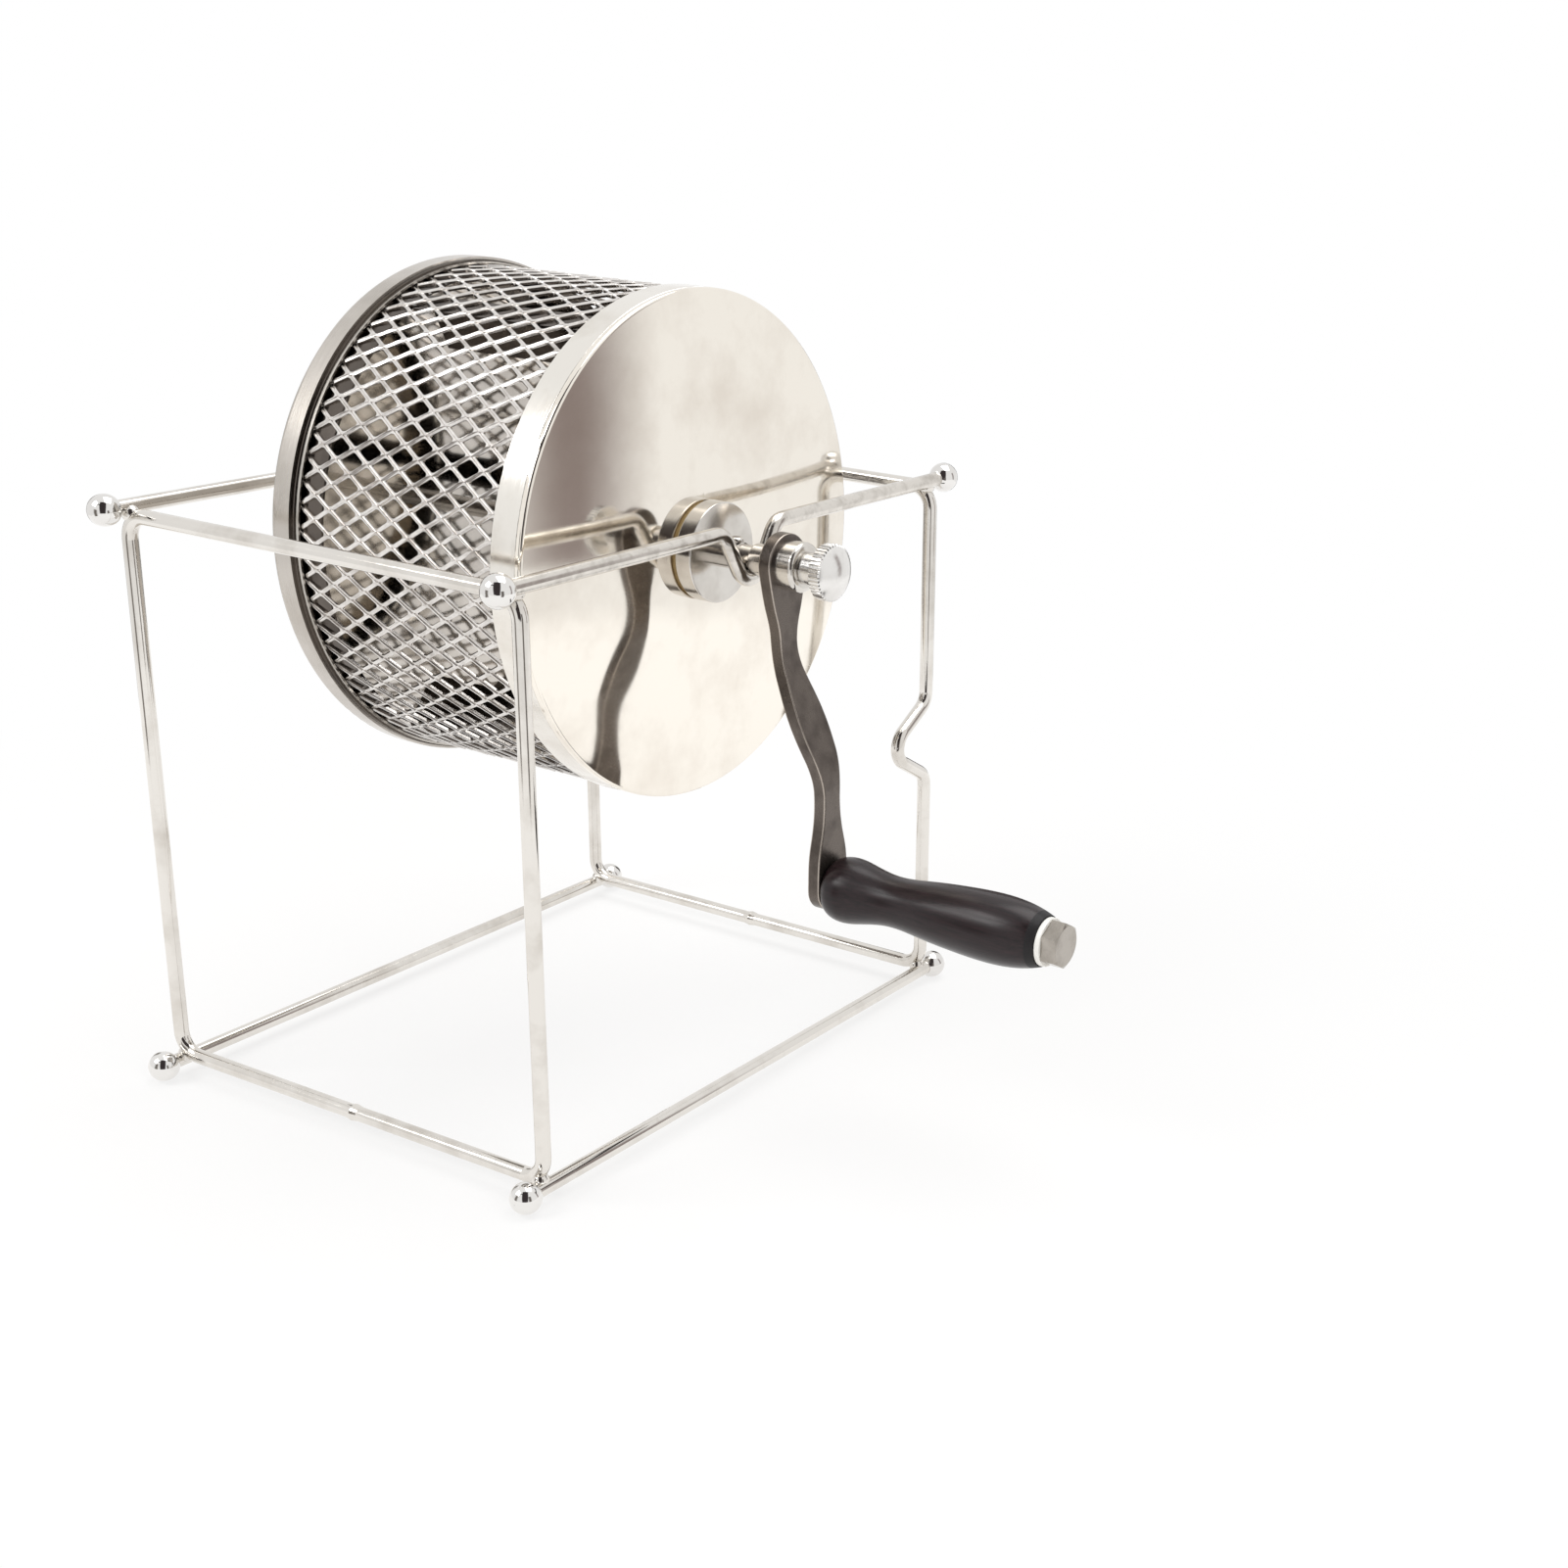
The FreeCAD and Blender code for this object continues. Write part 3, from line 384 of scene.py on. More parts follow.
@dataclass(frozen=True)
class LacqueredWood:
    """Dark stained turned hardwood under clear lacquer, with a darker end band beside the bolt that is
    painted shade.

    Attributes:
        name: the material's name.
        light: sRGB hex of the wood between its pores.
        dark: sRGB hex of the pores.
        grain_mm: width of the grain's streaks.
        band: sRGB hex of the end band, darkened as painted shade.
        band_x_mm: where along the drum's shaft the band begins.
        band_step_mm: width of the step from lacquer to band.
        line_mm: half the width of the turned line where the band begins.
        line_depth: depth of that line, in depths of the grain.
        relief_mm: depth of the grain.
        roughness: roughness of the lacquer.
        band_roughness: roughness of the end band.
        pores_from: grain noise below which all is pore.
        pores_to: grain noise above which all is wood.
    """

    name: str
    light: str
    dark: str
    grain_mm: float
    band: str
    band_x_mm: float
    band_step_mm: float = 0.15
    line_mm: float = 0.3
    line_depth: float = 4.0
    relief_mm: float = 0.03
    roughness: float = 0.30
    band_roughness: float = 0.6
    pores_from: float = 0.35
    pores_to: float = 0.7

    def build(self, axis_height: float) -> Material:
        """Build the material; the streaks run along the grip, and the lacquer makes them glossy.

        Args:
            axis_height: height of the drum's shaft.

        Returns:
            The finished material.
        """
        material, tree, place = start_material(self.name)
        shader = tree.nodes["Principled BSDF"]
        streaks = add_node(
            tree,
            "ShaderNodeMapping",
            {"Vector": place, "Location": (0, 0, -axis_height), "Scale": (0.06, 1.0, 1.0)},
        ).outputs["Vector"]
        grain = add_node(
            tree,
            "ShaderNodeTexNoise",
            {"Vector": streaks, "Scale": 1 / (self.grain_mm * MM), "Detail": 6.0, "Roughness": 0.65},
        ).outputs["Fac"]
        share = add_node(
            tree,
            "ShaderNodeMapRange",
            {"Value": grain, "From Min": self.pores_from, "From Max": self.pores_to},
        ).outputs["Result"]
        colour = add_node(
            tree,
            "ShaderNodeMix",
            {0: share, 6: to_linear(self.dark), 7: to_linear(self.light)},
            data_type="RGBA",
        ).outputs[2]
        along = add_node(tree, "ShaderNodeSeparateXYZ", {"Vector": place}).outputs["X"]
        end = add_node(
            tree,
            "ShaderNodeMapRange",
            {
                "Value": along,
                "From Min": self.band_x_mm * MM,
                "From Max": (self.band_x_mm + self.band_step_mm) * MM,
            },
        ).outputs["Result"]
        # The darker end band is painted shade of the grip's end chamfer.
        colour = add_node(
            tree, "ShaderNodeMix", {0: end, 6: colour, 7: to_linear(self.band)}, data_type="RGBA"
        ).outputs[2]
        rough = add_node(
            tree,
            "ShaderNodeMapRange",
            {"Value": end, "To Min": self.roughness, "To Max": self.band_roughness},
        ).outputs["Result"]
        turned_line = add_node(
            tree,
            "ShaderNodeMath",
            {0: along, 1: self.band_x_mm * MM, 2: self.line_mm * MM},
            operation="COMPARE",
        ).outputs[0]
        height = add_node(
            tree, "ShaderNodeMath", {0: turned_line, 1: -self.line_depth, 2: grain}, operation="MULTIPLY_ADD"
        ).outputs[0]
        bump = add_node(
            tree, "ShaderNodeBump", {"Height": height, "Strength": 0.4, "Distance": self.relief_mm * MM}
        ).outputs["Normal"]
        tree.links.new(colour, shader.inputs["Base Color"])
        tree.links.new(rough, shader.inputs["Roughness"])
        tree.links.new(bump, shader.inputs["Normal"])
        shader.inputs["IOR"].default_value = 1.45
        shader.inputs["Specular IOR Level"].default_value = 0.35
        shader.inputs["Coat Weight"].default_value = 0.12
        shader.inputs["Coat Roughness"].default_value = 0.2
        return material


@dataclass(frozen=True)
class Plastic:
    """Moulded plastic or pressed fibre.

    Attributes:
        name: the material's name.
        colour: sRGB hex.
        roughness: roughness of the skin.
        skin_mm: size of the skin's unevenness.
        relief_mm: depth of that unevenness.
    """

    name: str
    colour: str
    roughness: float
    skin_mm: float = 1.2
    relief_mm: float = 0.05

    def build(self, axis_height: float) -> Material:
        """Build the material, with a faint unevenness of its skin.

        Args:
            axis_height: height of the drum's shaft, which an even skin has no use for.

        Returns:
            The finished material.
        """
        material, tree, place = start_material(self.name)
        shader = tree.nodes["Principled BSDF"]
        skin = add_node(
            tree, "ShaderNodeTexNoise", {"Vector": place, "Scale": 1 / (self.skin_mm * MM), "Detail": 3.0}
        ).outputs["Fac"]
        bump = add_node(
            tree, "ShaderNodeBump", {"Height": skin, "Strength": 0.3, "Distance": self.relief_mm * MM}
        ).outputs["Normal"]
        tree.links.new(bump, shader.inputs["Normal"])
        shader.inputs["Base Color"].default_value = to_linear(self.colour)
        shader.inputs["Roughness"].default_value = self.roughness
        return material


# Drawn stainless wire: bright, with a soft sheen along it.
STAND_WIRE = Metal(
    name="drawn_stainless_wire", colour="DDD9D3", stain="C6C0B8", roughness=0.10, spread=0.04,
    grain=Grain.DRAWN, grain_mm=2.4, relief_mm=0.0006, patch_mm=18.0,
)
# The same wire where hands have dulled it: a little mottled.
DULLED_WIRE = Metal(
    name="dulled_stainless_wire", colour="D8D3CC", stain="B4AEA6", roughness=0.19, spread=0.09,
    grain=Grain.CAST, grain_mm=1.6, relief_mm=0.006, patch_mm=6.0,
)
# Polished steel balls: sharp reflections, hardly a mark.
BALL_STEEL = Metal(
    name="polished_ball_steel", colour="E2E0DD", stain="D6D3D0", roughness=0.045, spread=0.02,
    grain=Grain.POLISHED, grain_mm=4.0, relief_mm=0.001,
)
# Mirror polished stainless sheet: clear reflections, cloudy with wiping marks.
MIRROR_SHEET = Metal(
    name="mirror_stainless_sheet", colour="F0EAE0", stain="E2DACF", roughness=0.07, spread=0.05,
    grain=Grain.POLISHED, grain_mm=30.0, relief_mm=0.03, patch_mm=26.0,
)
# Satin brushed stainless sheet: blurred reflections, drawn out round the drum.
SATIN_SHEET = Metal(
    name="satin_stainless_sheet", colour="BFBAB3", stain="A19B93", roughness=0.24, spread=0.08,
    grain=Grain.BRUSHED, grain_mm=0.5, relief_mm=0.005,
)
# The band at the crank end is the same sheet, buffed smoother; its colour is painted lighter as painted
# reflection.
BRIGHT_BAND = Metal(
    name="buffed_stainless_band", colour="E8E4DD", stain="D4CDC3", roughness=0.16, spread=0.06,
    grain=Grain.BRUSHED, grain_mm=0.5, relief_mm=0.003,
)
# Pressed cap of bright sheet: brushed round its rim, mirror polished on its flat.
CAP_SHEET = Metal(
    name="pressed_stainless_cap", colour="C3BDB6", stain="ABA59D", roughness=0.25, spread=0.08,
    grain=Grain.BRUSHED, grain_mm=0.5, relief_mm=0.002, mirror_mm=78.5,
)
# Expanded steel mesh: bright sheared strands, a little uneven.
MESH_STEEL = Metal(
    name="expanded_steel_mesh", colour="DDD9D5", stain="B6B0AA", roughness=0.19, spread=0.09,
    grain=Grain.DRAWN, grain_mm=1.6, relief_mm=0.02, patch_mm=6.0,
)
# Steel sheet inside the drum: its dark colour is painted shade, and it stays glossy.
DARK_SHEET = Metal(
    name="heat_stained_sheet", colour="625B55", stain="3E3935", roughness=0.15, spread=0.08,
    grain=Grain.POLISHED, grain_mm=9.0, relief_mm=0.01, patch_mm=18.0,
)
# Turned stainless steel: fine tool rings that fan the light out from the middle.
TURNED_STEEL = Metal(
    name="turned_stainless", colour="D8D4CE", stain="B9B2AA", roughness=0.17, spread=0.06,
    grain=Grain.TURNED, grain_mm=0.28, relief_mm=0.003, stretch=0.8,
)
# Polished turned nut: bright, with faint rings.
NUT_STEEL = Metal(
    name="polished_turned_steel", colour="E4E2DF", stain="C9C5C0", roughness=0.22, spread=0.06,
    grain=Grain.TURNED, grain_mm=0.4, relief_mm=0.002, stretch=0.3,
)
# Dark grey tumbled casting: soft highlights, a fine tooth, and rounded edges painted lighter as rubbed wear
# and painted highlight.
CRANK_CASTING = Metal(
    name="tumbled_grey_casting", colour="675F59", stain="4C4540", roughness=0.30, spread=0.09,
    grain=Grain.CAST, grain_mm=0.9, relief_mm=0.02, patch_mm=9.0, metallic=0.85, edge_wear_and_highlight="B4AAA0",
)
# Zinc plated bolt: slightly grey and cloudy.
BOLT_ZINC = Metal(
    name="zinc_plated_steel", colour="A9A39B", stain="8F8981", roughness=0.20, spread=0.08,
    grain=Grain.CAST, grain_mm=1.5, relief_mm=0.004, patch_mm=9.0,
)
# Dark stained beech under lacquer: nearly black, warm at the edges.
GRIP_WOOD = LacqueredWood(
    name="stained_beech_lacquered", light="2A1B1E", dark="150D0F", grain_mm=0.8, band="161315",
    band_x_mm=185.7,
)
# Fibre spacer behind the hub: warm tan, pressed and dull.
SPACER_FIBRE = Plastic(name="tan_vulcanised_fibre", colour="C2A878", roughness=0.55)
# White nylon washer: dull and even.
WASHER_NYLON = Plastic(name="white_nylon", colour="F1EFEA", roughness=0.42)


def deselect() -> None:
    """Leave edit mode and select nothing."""
    if bpy.context.object and bpy.context.object.mode != "OBJECT":
        bpy.ops.object.mode_set(mode="OBJECT")
    bpy.ops.object.select_all(action="DESELECT")


def only(item: Item) -> None:
    """Select one object and make it active.

    Args:
        item: the object.
    """
    deselect()
    item.select_set(True)
    bpy.context.view_layer.objects.active = item


def apply_modifier(item: Item, kind: str, **settings: Any) -> None:
    """Add a modifier with its settings and apply it.

    Args:
        item: the object to change.
        kind: the modifier's type.
        settings: properties of the modifier.
    """
    only(item)
    modifier = item.modifiers.new(kind.lower(), kind)
    for name, value in settings.items():
        setattr(modifier, name, value)
    bpy.ops.object.modifier_apply(modifier=modifier.name)


# Faces that meet at less than this angle shade as one smooth surface.
SMOOTH_BELOW = math.radians(32)
# Points of a turned piece that are closer than this become one.
SAME_POINT = 0.001 * MM


def draw_rings(
    stations: list[tuple[float, float]], sides: int, axis_height: float, fill: str = "NGON"
) -> Item:
    """Model a turned piece: a circle is extruded and resized from station to station.

    Args:
        stations: (along, radius) pairs from back to front, in metres.
        sides: vertices round each ring.
        axis_height: height of the drum's shaft, which the piece is centred on.
        fill: NGON for a solid piece, NOTHING for one whose last station is its first.

    Returns:
        The closed piece, with its place in its mesh.
    """
    deselect()
    along, radius = stations[0]
    bpy.ops.mesh.primitive_circle_add(
        vertices=sides,
        radius=radius,
        fill_type=fill,
        location=(along, 0, axis_height),
        rotation=(0, math.pi / 2, 0),
    )
    item = bpy.context.object
    bpy.ops.object.transform_apply(location=True, rotation=True, scale=True)
    bpy.ops.object.mode_set(mode="EDIT")
    bpy.ops.mesh.select_all(action="SELECT")
    for next_along, next_radius in stations[1:]:
        bpy.ops.mesh.extrude_region_move(TRANSFORM_OT_translate={"value": (next_along - along, 0, 0)})
        share = next_radius / radius
        bpy.ops.transform.resize(value=(1, share, share), center_override=(next_along, 0, axis_height))
        along, radius = next_along, next_radius
    bpy.ops.mesh.select_all(action="SELECT")
    bpy.ops.mesh.remove_doubles(threshold=SAME_POINT)
    bpy.ops.mesh.normals_make_consistent(inside=False)
    bpy.ops.object.mode_set(mode="OBJECT")
    return item


@dataclass
class SubAssembly:
    """Pieces of the roaster that belong together.

    Attributes:
        axis_height: height of the drum's shaft in metres.
    """

    frame: dict[str, Any]
    axis_height: float

    def material(self, finish: Finish) -> Material:
        """Find a finish that another piece already wears, or build it."""
        return bpy.data.materials.get(finish.name) or finish.build(self.axis_height)

    def wear(self, finish: Finish, *nodes: str) -> None:
        """Put a finish on CAD nodes whose shape stays.

        Args:
            finish: the finish.
            nodes: the nodes' names.
        """
        material = self.material(finish)
        for name in nodes:
            mesh = self.frame["nodes"][name].data
            mesh.materials.clear()
            mesh.materials.append(material)
            LOG.info("%s wears %s", name, material.name)

    def dress(self) -> None:
        """Dress the CAD nodes whose shape stays."""

    def build(self) -> None:
        """Model the pieces that the CAD shapes leave plainer."""


@dataclass
class Stand(SubAssembly):
    """Hoops and rods of bent wire, welded where they cross, with a ball on each rod's end."""

    def dress(self) -> None:
        """Dress the wires and the balls."""
        self.wear(
            STAND_WIRE,
            "near_side_hoop",
            "far_side_hoop",
            "far_top_rod",
            "crank_base_rod",
            "far_base_rod",
            "hoop_welds",
        )
        self.wear(DULLED_WIRE, "crank_top_rod")
        self.wear(BALL_STEEL, "top_balls", "foot_balls")


@dataclass
class DrumWall(SubAssembly):
    """The drum without its shaft: lid, rings, cap, vanes and the wall of expanded sheet.

    The wall is a sheet of staggered diamonds, rolled round the shaft.

    Attributes:
        cells_round: diamonds in one row round the drum.
        cell_length: a diamond's length along the drum.
        strand: width of a strand between two diamonds.
        thickness: thickness of the sheet.
        corner: how far back a hole's corners start to round.
        corner_steps: steps that round such a corner.
        tilt: how far a hole's ends stand out of the sheet, as the slitting blade left them.
        first_cell: where along the drum the first diamonds begin.
        weld: distance at which neighbouring corners become one.
        rim: share of a diamond, from its edge, that counts as its edge.
    """

    cells_round: int = 65
    cell_length: float = 12.84 * MM
    strand: float = 1.18 * MM
    thickness: float = 0.75 * MM
    corner: float = 0.95 * MM
    corner_steps: int = 3
    tilt: float = 0.38 * MM
    first_cell: float = -31.65 * MM
    weld: float = 0.01 * MM
    rim: float = 0.01

    def dress(self) -> None:
        """Dress lid, rings, cap, sleeve and vanes."""
        self.wear(MIRROR_SHEET, "polished_lid")
        # The crank end band is buffed smoother, and its lighter colour is partly painted reflection.
        self.wear(BRIGHT_BAND, "crank_end_band")
        self.wear(SATIN_SHEET, "far_end_ring")
        self.wear(CAP_SHEET, "far_cap")
        # Sleeve and vanes inside the drum are darkened as painted shade.
        self.wear(DARK_SHEET, "far_end_sleeve", "agitator_vane_a", "agitator_vane_b", "agitator_vane_c")

    def build(self) -> None:
        """Model the wall's sheet flat, cut it to length and roll it up."""
        low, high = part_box("drum_mesh")
        radius = (high.y - low.y) / 2 - self.thickness / 2 - self.tilt
        pitch = 2 * math.pi * radius / self.cells_round
        rows = math.ceil((high.x - self.first_cell) / self.cell_length)
        mesh = self.flat_sheet(pitch, rows)
        self.cut(mesh, low.x, high.x)
        apply_modifier(mesh, "SOLIDIFY", thickness=self.thickness, offset=0, use_even_offset=True)
        self.roll(mesh, radius)
        mesh.name = "expanded_drum_mesh"
        mesh.data.materials.append(self.material(MESH_STEEL))
        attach(mesh, "drum")
        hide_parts("drum_mesh")
        LOG.info("%s has %d faces", mesh.name, len(mesh.data.polygons))

    def flat_sheet(self, pitch: float, rows: int) -> Item:
        """Join the rows on the seam and the rows half a diamond aside.

        Args:
            pitch: the diamond's width round the drum.
            rows: rows along the drum.

        Returns:
            The flat sheet in the XZ plane.
        """
        sheets = [self.row_pattern(pitch, rows, stagger) for stagger in (0, 1)]
        deselect()
        for item in sheets:
            item.select_set(True)
        bpy.context.view_layer.objects.active = sheets[0]
        bpy.ops.object.transform_apply(location=True, rotation=True, scale=True)
        bpy.ops.object.join()
        return bpy.context.object

    def row_pattern(self, pitch: float, rows: int, stagger: int) -> Item:
        """Repeat one diamond over the flat sheet.

        Args:
            pitch: the diamond's width round the drum.
            rows: rows along the drum.
            stagger: 0 for the rows on the seam, 1 for the rows half a diamond aside.

        Returns:
            The flat pattern, with its place not yet applied.
        """
        item = self.cell(pitch)
        for count, step in (
            (self.cells_round, (pitch, 0, 0)),
            (rows + stagger, (0, 0, self.cell_length)),
        ):
            apply_modifier(
                item,
                "ARRAY",
                count=count,
                use_relative_offset=False,
                use_constant_offset=True,
                constant_offset_displace=step,
                use_merge_vertices=True,
                merge_threshold=self.weld,
            )
        along = self.first_cell + (1 - stagger) * self.cell_length / 2
        item.location = ((stagger / 2 - self.cells_round / 2) * pitch, 0, along)
        return item

    def cell(self, pitch: float) -> Item:
        """Model one diamond of the flat sheet: a rhombus with a rounded rhombic hole.

        Args:
            pitch: the diamond's width round the drum.

        Returns:
            The flat diamond in the XZ plane.
        """
        deselect()
        bpy.ops.mesh.primitive_circle_add(
            vertices=4, radius=1, fill_type="NGON", rotation=(math.pi / 2, 0, 0)
        )
        item = bpy.context.object
        item.scale = (pitch / 2, self.cell_length / 2, 1)
        bpy.ops.object.transform_apply(location=True, rotation=True, scale=True)
        bpy.ops.object.mode_set(mode="EDIT")
        bpy.ops.mesh.select_all(action="SELECT")
        bpy.ops.mesh.inset(thickness=self.strand / 2, use_even_offset=True)
        bpy.ops.mesh.delete(type="ONLY_FACE")
        bpy.ops.mesh.select_all(action="DESELECT")
        bpy.ops.object.mode_set(mode="OBJECT")
        for vertex in item.data.vertices:
            vertex.select = self.inside(vertex, pitch) > self.rim
        bpy.ops.object.mode_set(mode="EDIT")
        bpy.ops.mesh.bevel(offset=self.corner, segments=self.corner_steps, affect="VERTICES")
        bpy.ops.object.mode_set(mode="OBJECT")
        for vertex in item.data.vertices:
            if self.inside(vertex, pitch) > self.rim:
                vertex.co.y = self.tilt * vertex.co.z * 2 / self.cell_length
        return item

    def inside(self, vertex: bpy.types.MeshVertex, pitch: float) -> float:
        """Say how far a point lies inside a diamond: 0 on its edge, 1 in its middle."""
        return 1 - abs(vertex.co.x) * 2 / pitch - abs(vertex.co.z) * 2 / self.cell_length

    def cut(self, sheet: Item, low: float, high: float) -> None:
        """Weld the sheet's strands together and cut its ends straight.

        Args:
            sheet: the flat sheet, with the drum's length along Z.
            low: where along the drum it begins.
            high: where it ends.
        """
        only(sheet)
        bpy.ops.object.mode_set(mode="EDIT")
        bpy.ops.mesh.select_all(action="SELECT")
        bpy.ops.mesh.remove_doubles(threshold=self.weld)
        for place, clear_outer in ((low, False), (high, True)):
            bpy.ops.mesh.select_all(action="SELECT")
            bpy.ops.mesh.bisect(
                plane_co=(0, 0, place),
                plane_no=(0, 0, 1),
                clear_outer=clear_outer,
                clear_inner=not clear_outer,
            )
        bpy.ops.object.mode_set(mode="OBJECT")

    def roll(self, sheet: Item, radius: float) -> None:
        """Roll the flat sheet round the shaft and close its seam.

        Args:
            sheet: the flat sheet, with its length round the drum along X.
            radius: radius of the sheet's middle.
        """
        for vertex in sheet.data.vertices:
            turn = vertex.co.x / radius
            out = radius + vertex.co.y
            vertex.co = (vertex.co.z, -out * math.sin(turn), self.axis_height + out * math.cos(turn))
        only(sheet)
        bpy.ops.object.mode_set(mode="EDIT")
        bpy.ops.mesh.select_all(action="SELECT")
        bpy.ops.mesh.remove_doubles(threshold=2 * self.weld)
        bpy.ops.mesh.normals_make_consistent(inside=False)
        bpy.ops.object.mode_set(mode="OBJECT")


@dataclass
class Crank(SubAssembly):
    """Arm, collar, grip and bolt, and the domed thumb nut that holds the arm on.

    The nut has a smooth neck, a straight knurl and a low polished dome.

    Attributes:
        teeth: grooves of the nut's knurl.
        depth: depth of a groove.
        groove: half a groove's width, as a share of the way from groove to groove.
        land: width of the plain chamfer on each side of the knurl.
        neck: radius of the neck.
        neck_length: length of the neck.
        neck_chamfer: chamfer at the neck's foot.
        neck_fillet: fillet where the neck meets the knurl.
        knurl_length: length of the knurled band.
        dome: radius of the dome's foot.
        rise: height of the dome.
        dome_steps: rings from the dome's foot to its tip.
        touch: how close to the full radius a point counts as on the knurl.
    """

    teeth: int = 44
    depth: float = 0.55 * MM
    groove: float = 0.125
    land: float = 0.35 * MM
    neck: float = 5.0 * MM
    neck_length: float = 6.55 * MM
    neck_chamfer: float = 0.3 * MM
    neck_fillet: float = 0.2 * MM
    knurl_length: float = 4.0 * MM
    dome: float = 8.25 * MM
    rise: float = 3.0 * MM
    dome_steps: int = 12
    touch: float = 0.01 * MM

    def dress(self) -> None:
        """Dress arm, collar, grip, washer and bolt."""
        self.wear(TURNED_STEEL, "barrel_collar")
        self.wear(CRANK_CASTING, "crank_arm")
        self.wear(GRIP_WOOD, "grip")
        self.wear(WASHER_NYLON, "grip_washer")
        self.wear(BOLT_ZINC, "grip_bolt")

    def build(self) -> None:
        """Draw the nut from its neck to the tip of its dome, then press in the knurl."""
        low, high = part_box("thumb_nut")
        outside = (high.z - low.z) / 2
        nut = draw_rings(self.stations(low.x, outside), 4 * self.teeth, self.axis_height)
        for vertex in nut.data.vertices:
            out = Vector((0, vertex.co.y, vertex.co.z - self.axis_height))
            if out.length < outside - self.touch:
                continue
            turn = math.atan2(out.z, out.y) * self.teeth / (2 * math.pi)
            if abs(turn - round(turn)) < self.groove:
                vertex.co -= out.normalized() * self.depth
        only(nut)
        bpy.ops.object.shade_smooth_by_angle(angle=SMOOTH_BELOW)
        nut.name = "knurled_thumb_nut"
        nut.data.materials.append(self.material(NUT_STEEL))
        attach(nut, "nut")
        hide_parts("thumb_nut")
        LOG.info("%s has %d faces", nut.name, len(nut.data.polygons))

    def stations(self, start: float, outside: float) -> list[tuple[float, float]]:
        """List the rings of the nut.

        Args:
            start: where along the shaft the neck begins.
            outside: radius of the knurl.

        Returns:
            (along, radius) pairs from the neck to the tip.
        """
        knurl = start + self.neck_length
        front = knurl + self.knurl_length
        ball = (self.dome**2 + self.rise**2) / (2 * self.rise)
        stations = [
            (start, self.neck - self.neck_chamfer),
            (start + self.neck_chamfer, self.neck),
            (knurl - self.neck_fillet, self.neck),
            (knurl, self.neck + self.neck_fillet),
            (knurl, outside - self.land),
            (knurl + self.land, outside),
            (front - self.land, outside),
            (front, self.dome),
        ]
        for step in range(1, self.dome_steps):
            out = self.dome * math.cos(math.pi / 2 * step / self.dome_steps)
            stations.append((front + math.sqrt(ball**2 - out**2) - (ball - self.rise), out))
        return stations


@dataclass
class Hub(SubAssembly):
    """The shaft with all that is turned on it, and the fibre washer that spaces the hub off the lid.

    Attributes:
        bore: radius of the washer's hole, which fits the hub's spigot.
        inset: how far the washer's edge lies inside the disc's.
        sides: vertices round it.
    """

    bore: float = 8.02 * MM
    inset: float = 0.9 * MM
    sides: int = 96

    def dress(self) -> None:
        """Dress shaft, bushes, screws, disc, ring and boss."""
        self.wear(
            TURNED_STEEL,
            "shaft",
            "crank_side_bush",
            "far_side_bush",
            "far_bush_screw",
            "hub_disc",
            "hub_lock_ring",
            "hub_set_screw",
            "far_cap_boss",
        )

    def build(self) -> None:
        """Draw the washer's section round the shaft."""
        low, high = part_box("hub_spacer")
        disc_low, disc_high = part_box("hub_disc")
        outside = (disc_high.z - disc_low.z) / 2 - self.inset
        section = [
            (low.x, self.bore),
            (low.x, outside),
            (high.x, outside),
            (high.x, self.bore),
            (low.x, self.bore),
        ]
        washer = draw_rings(section, self.sides, self.axis_height, fill="NOTHING")
        only(washer)
        bpy.ops.object.shade_smooth_by_angle(angle=SMOOTH_BELOW)
        washer.name = "fibre_spacer_washer"
        washer.data.materials.append(self.material(SPACER_FIBRE))
        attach(washer, "drum")
        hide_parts("hub_spacer")
        LOG.info("%s has %d faces", washer.name, len(washer.data.polygons))


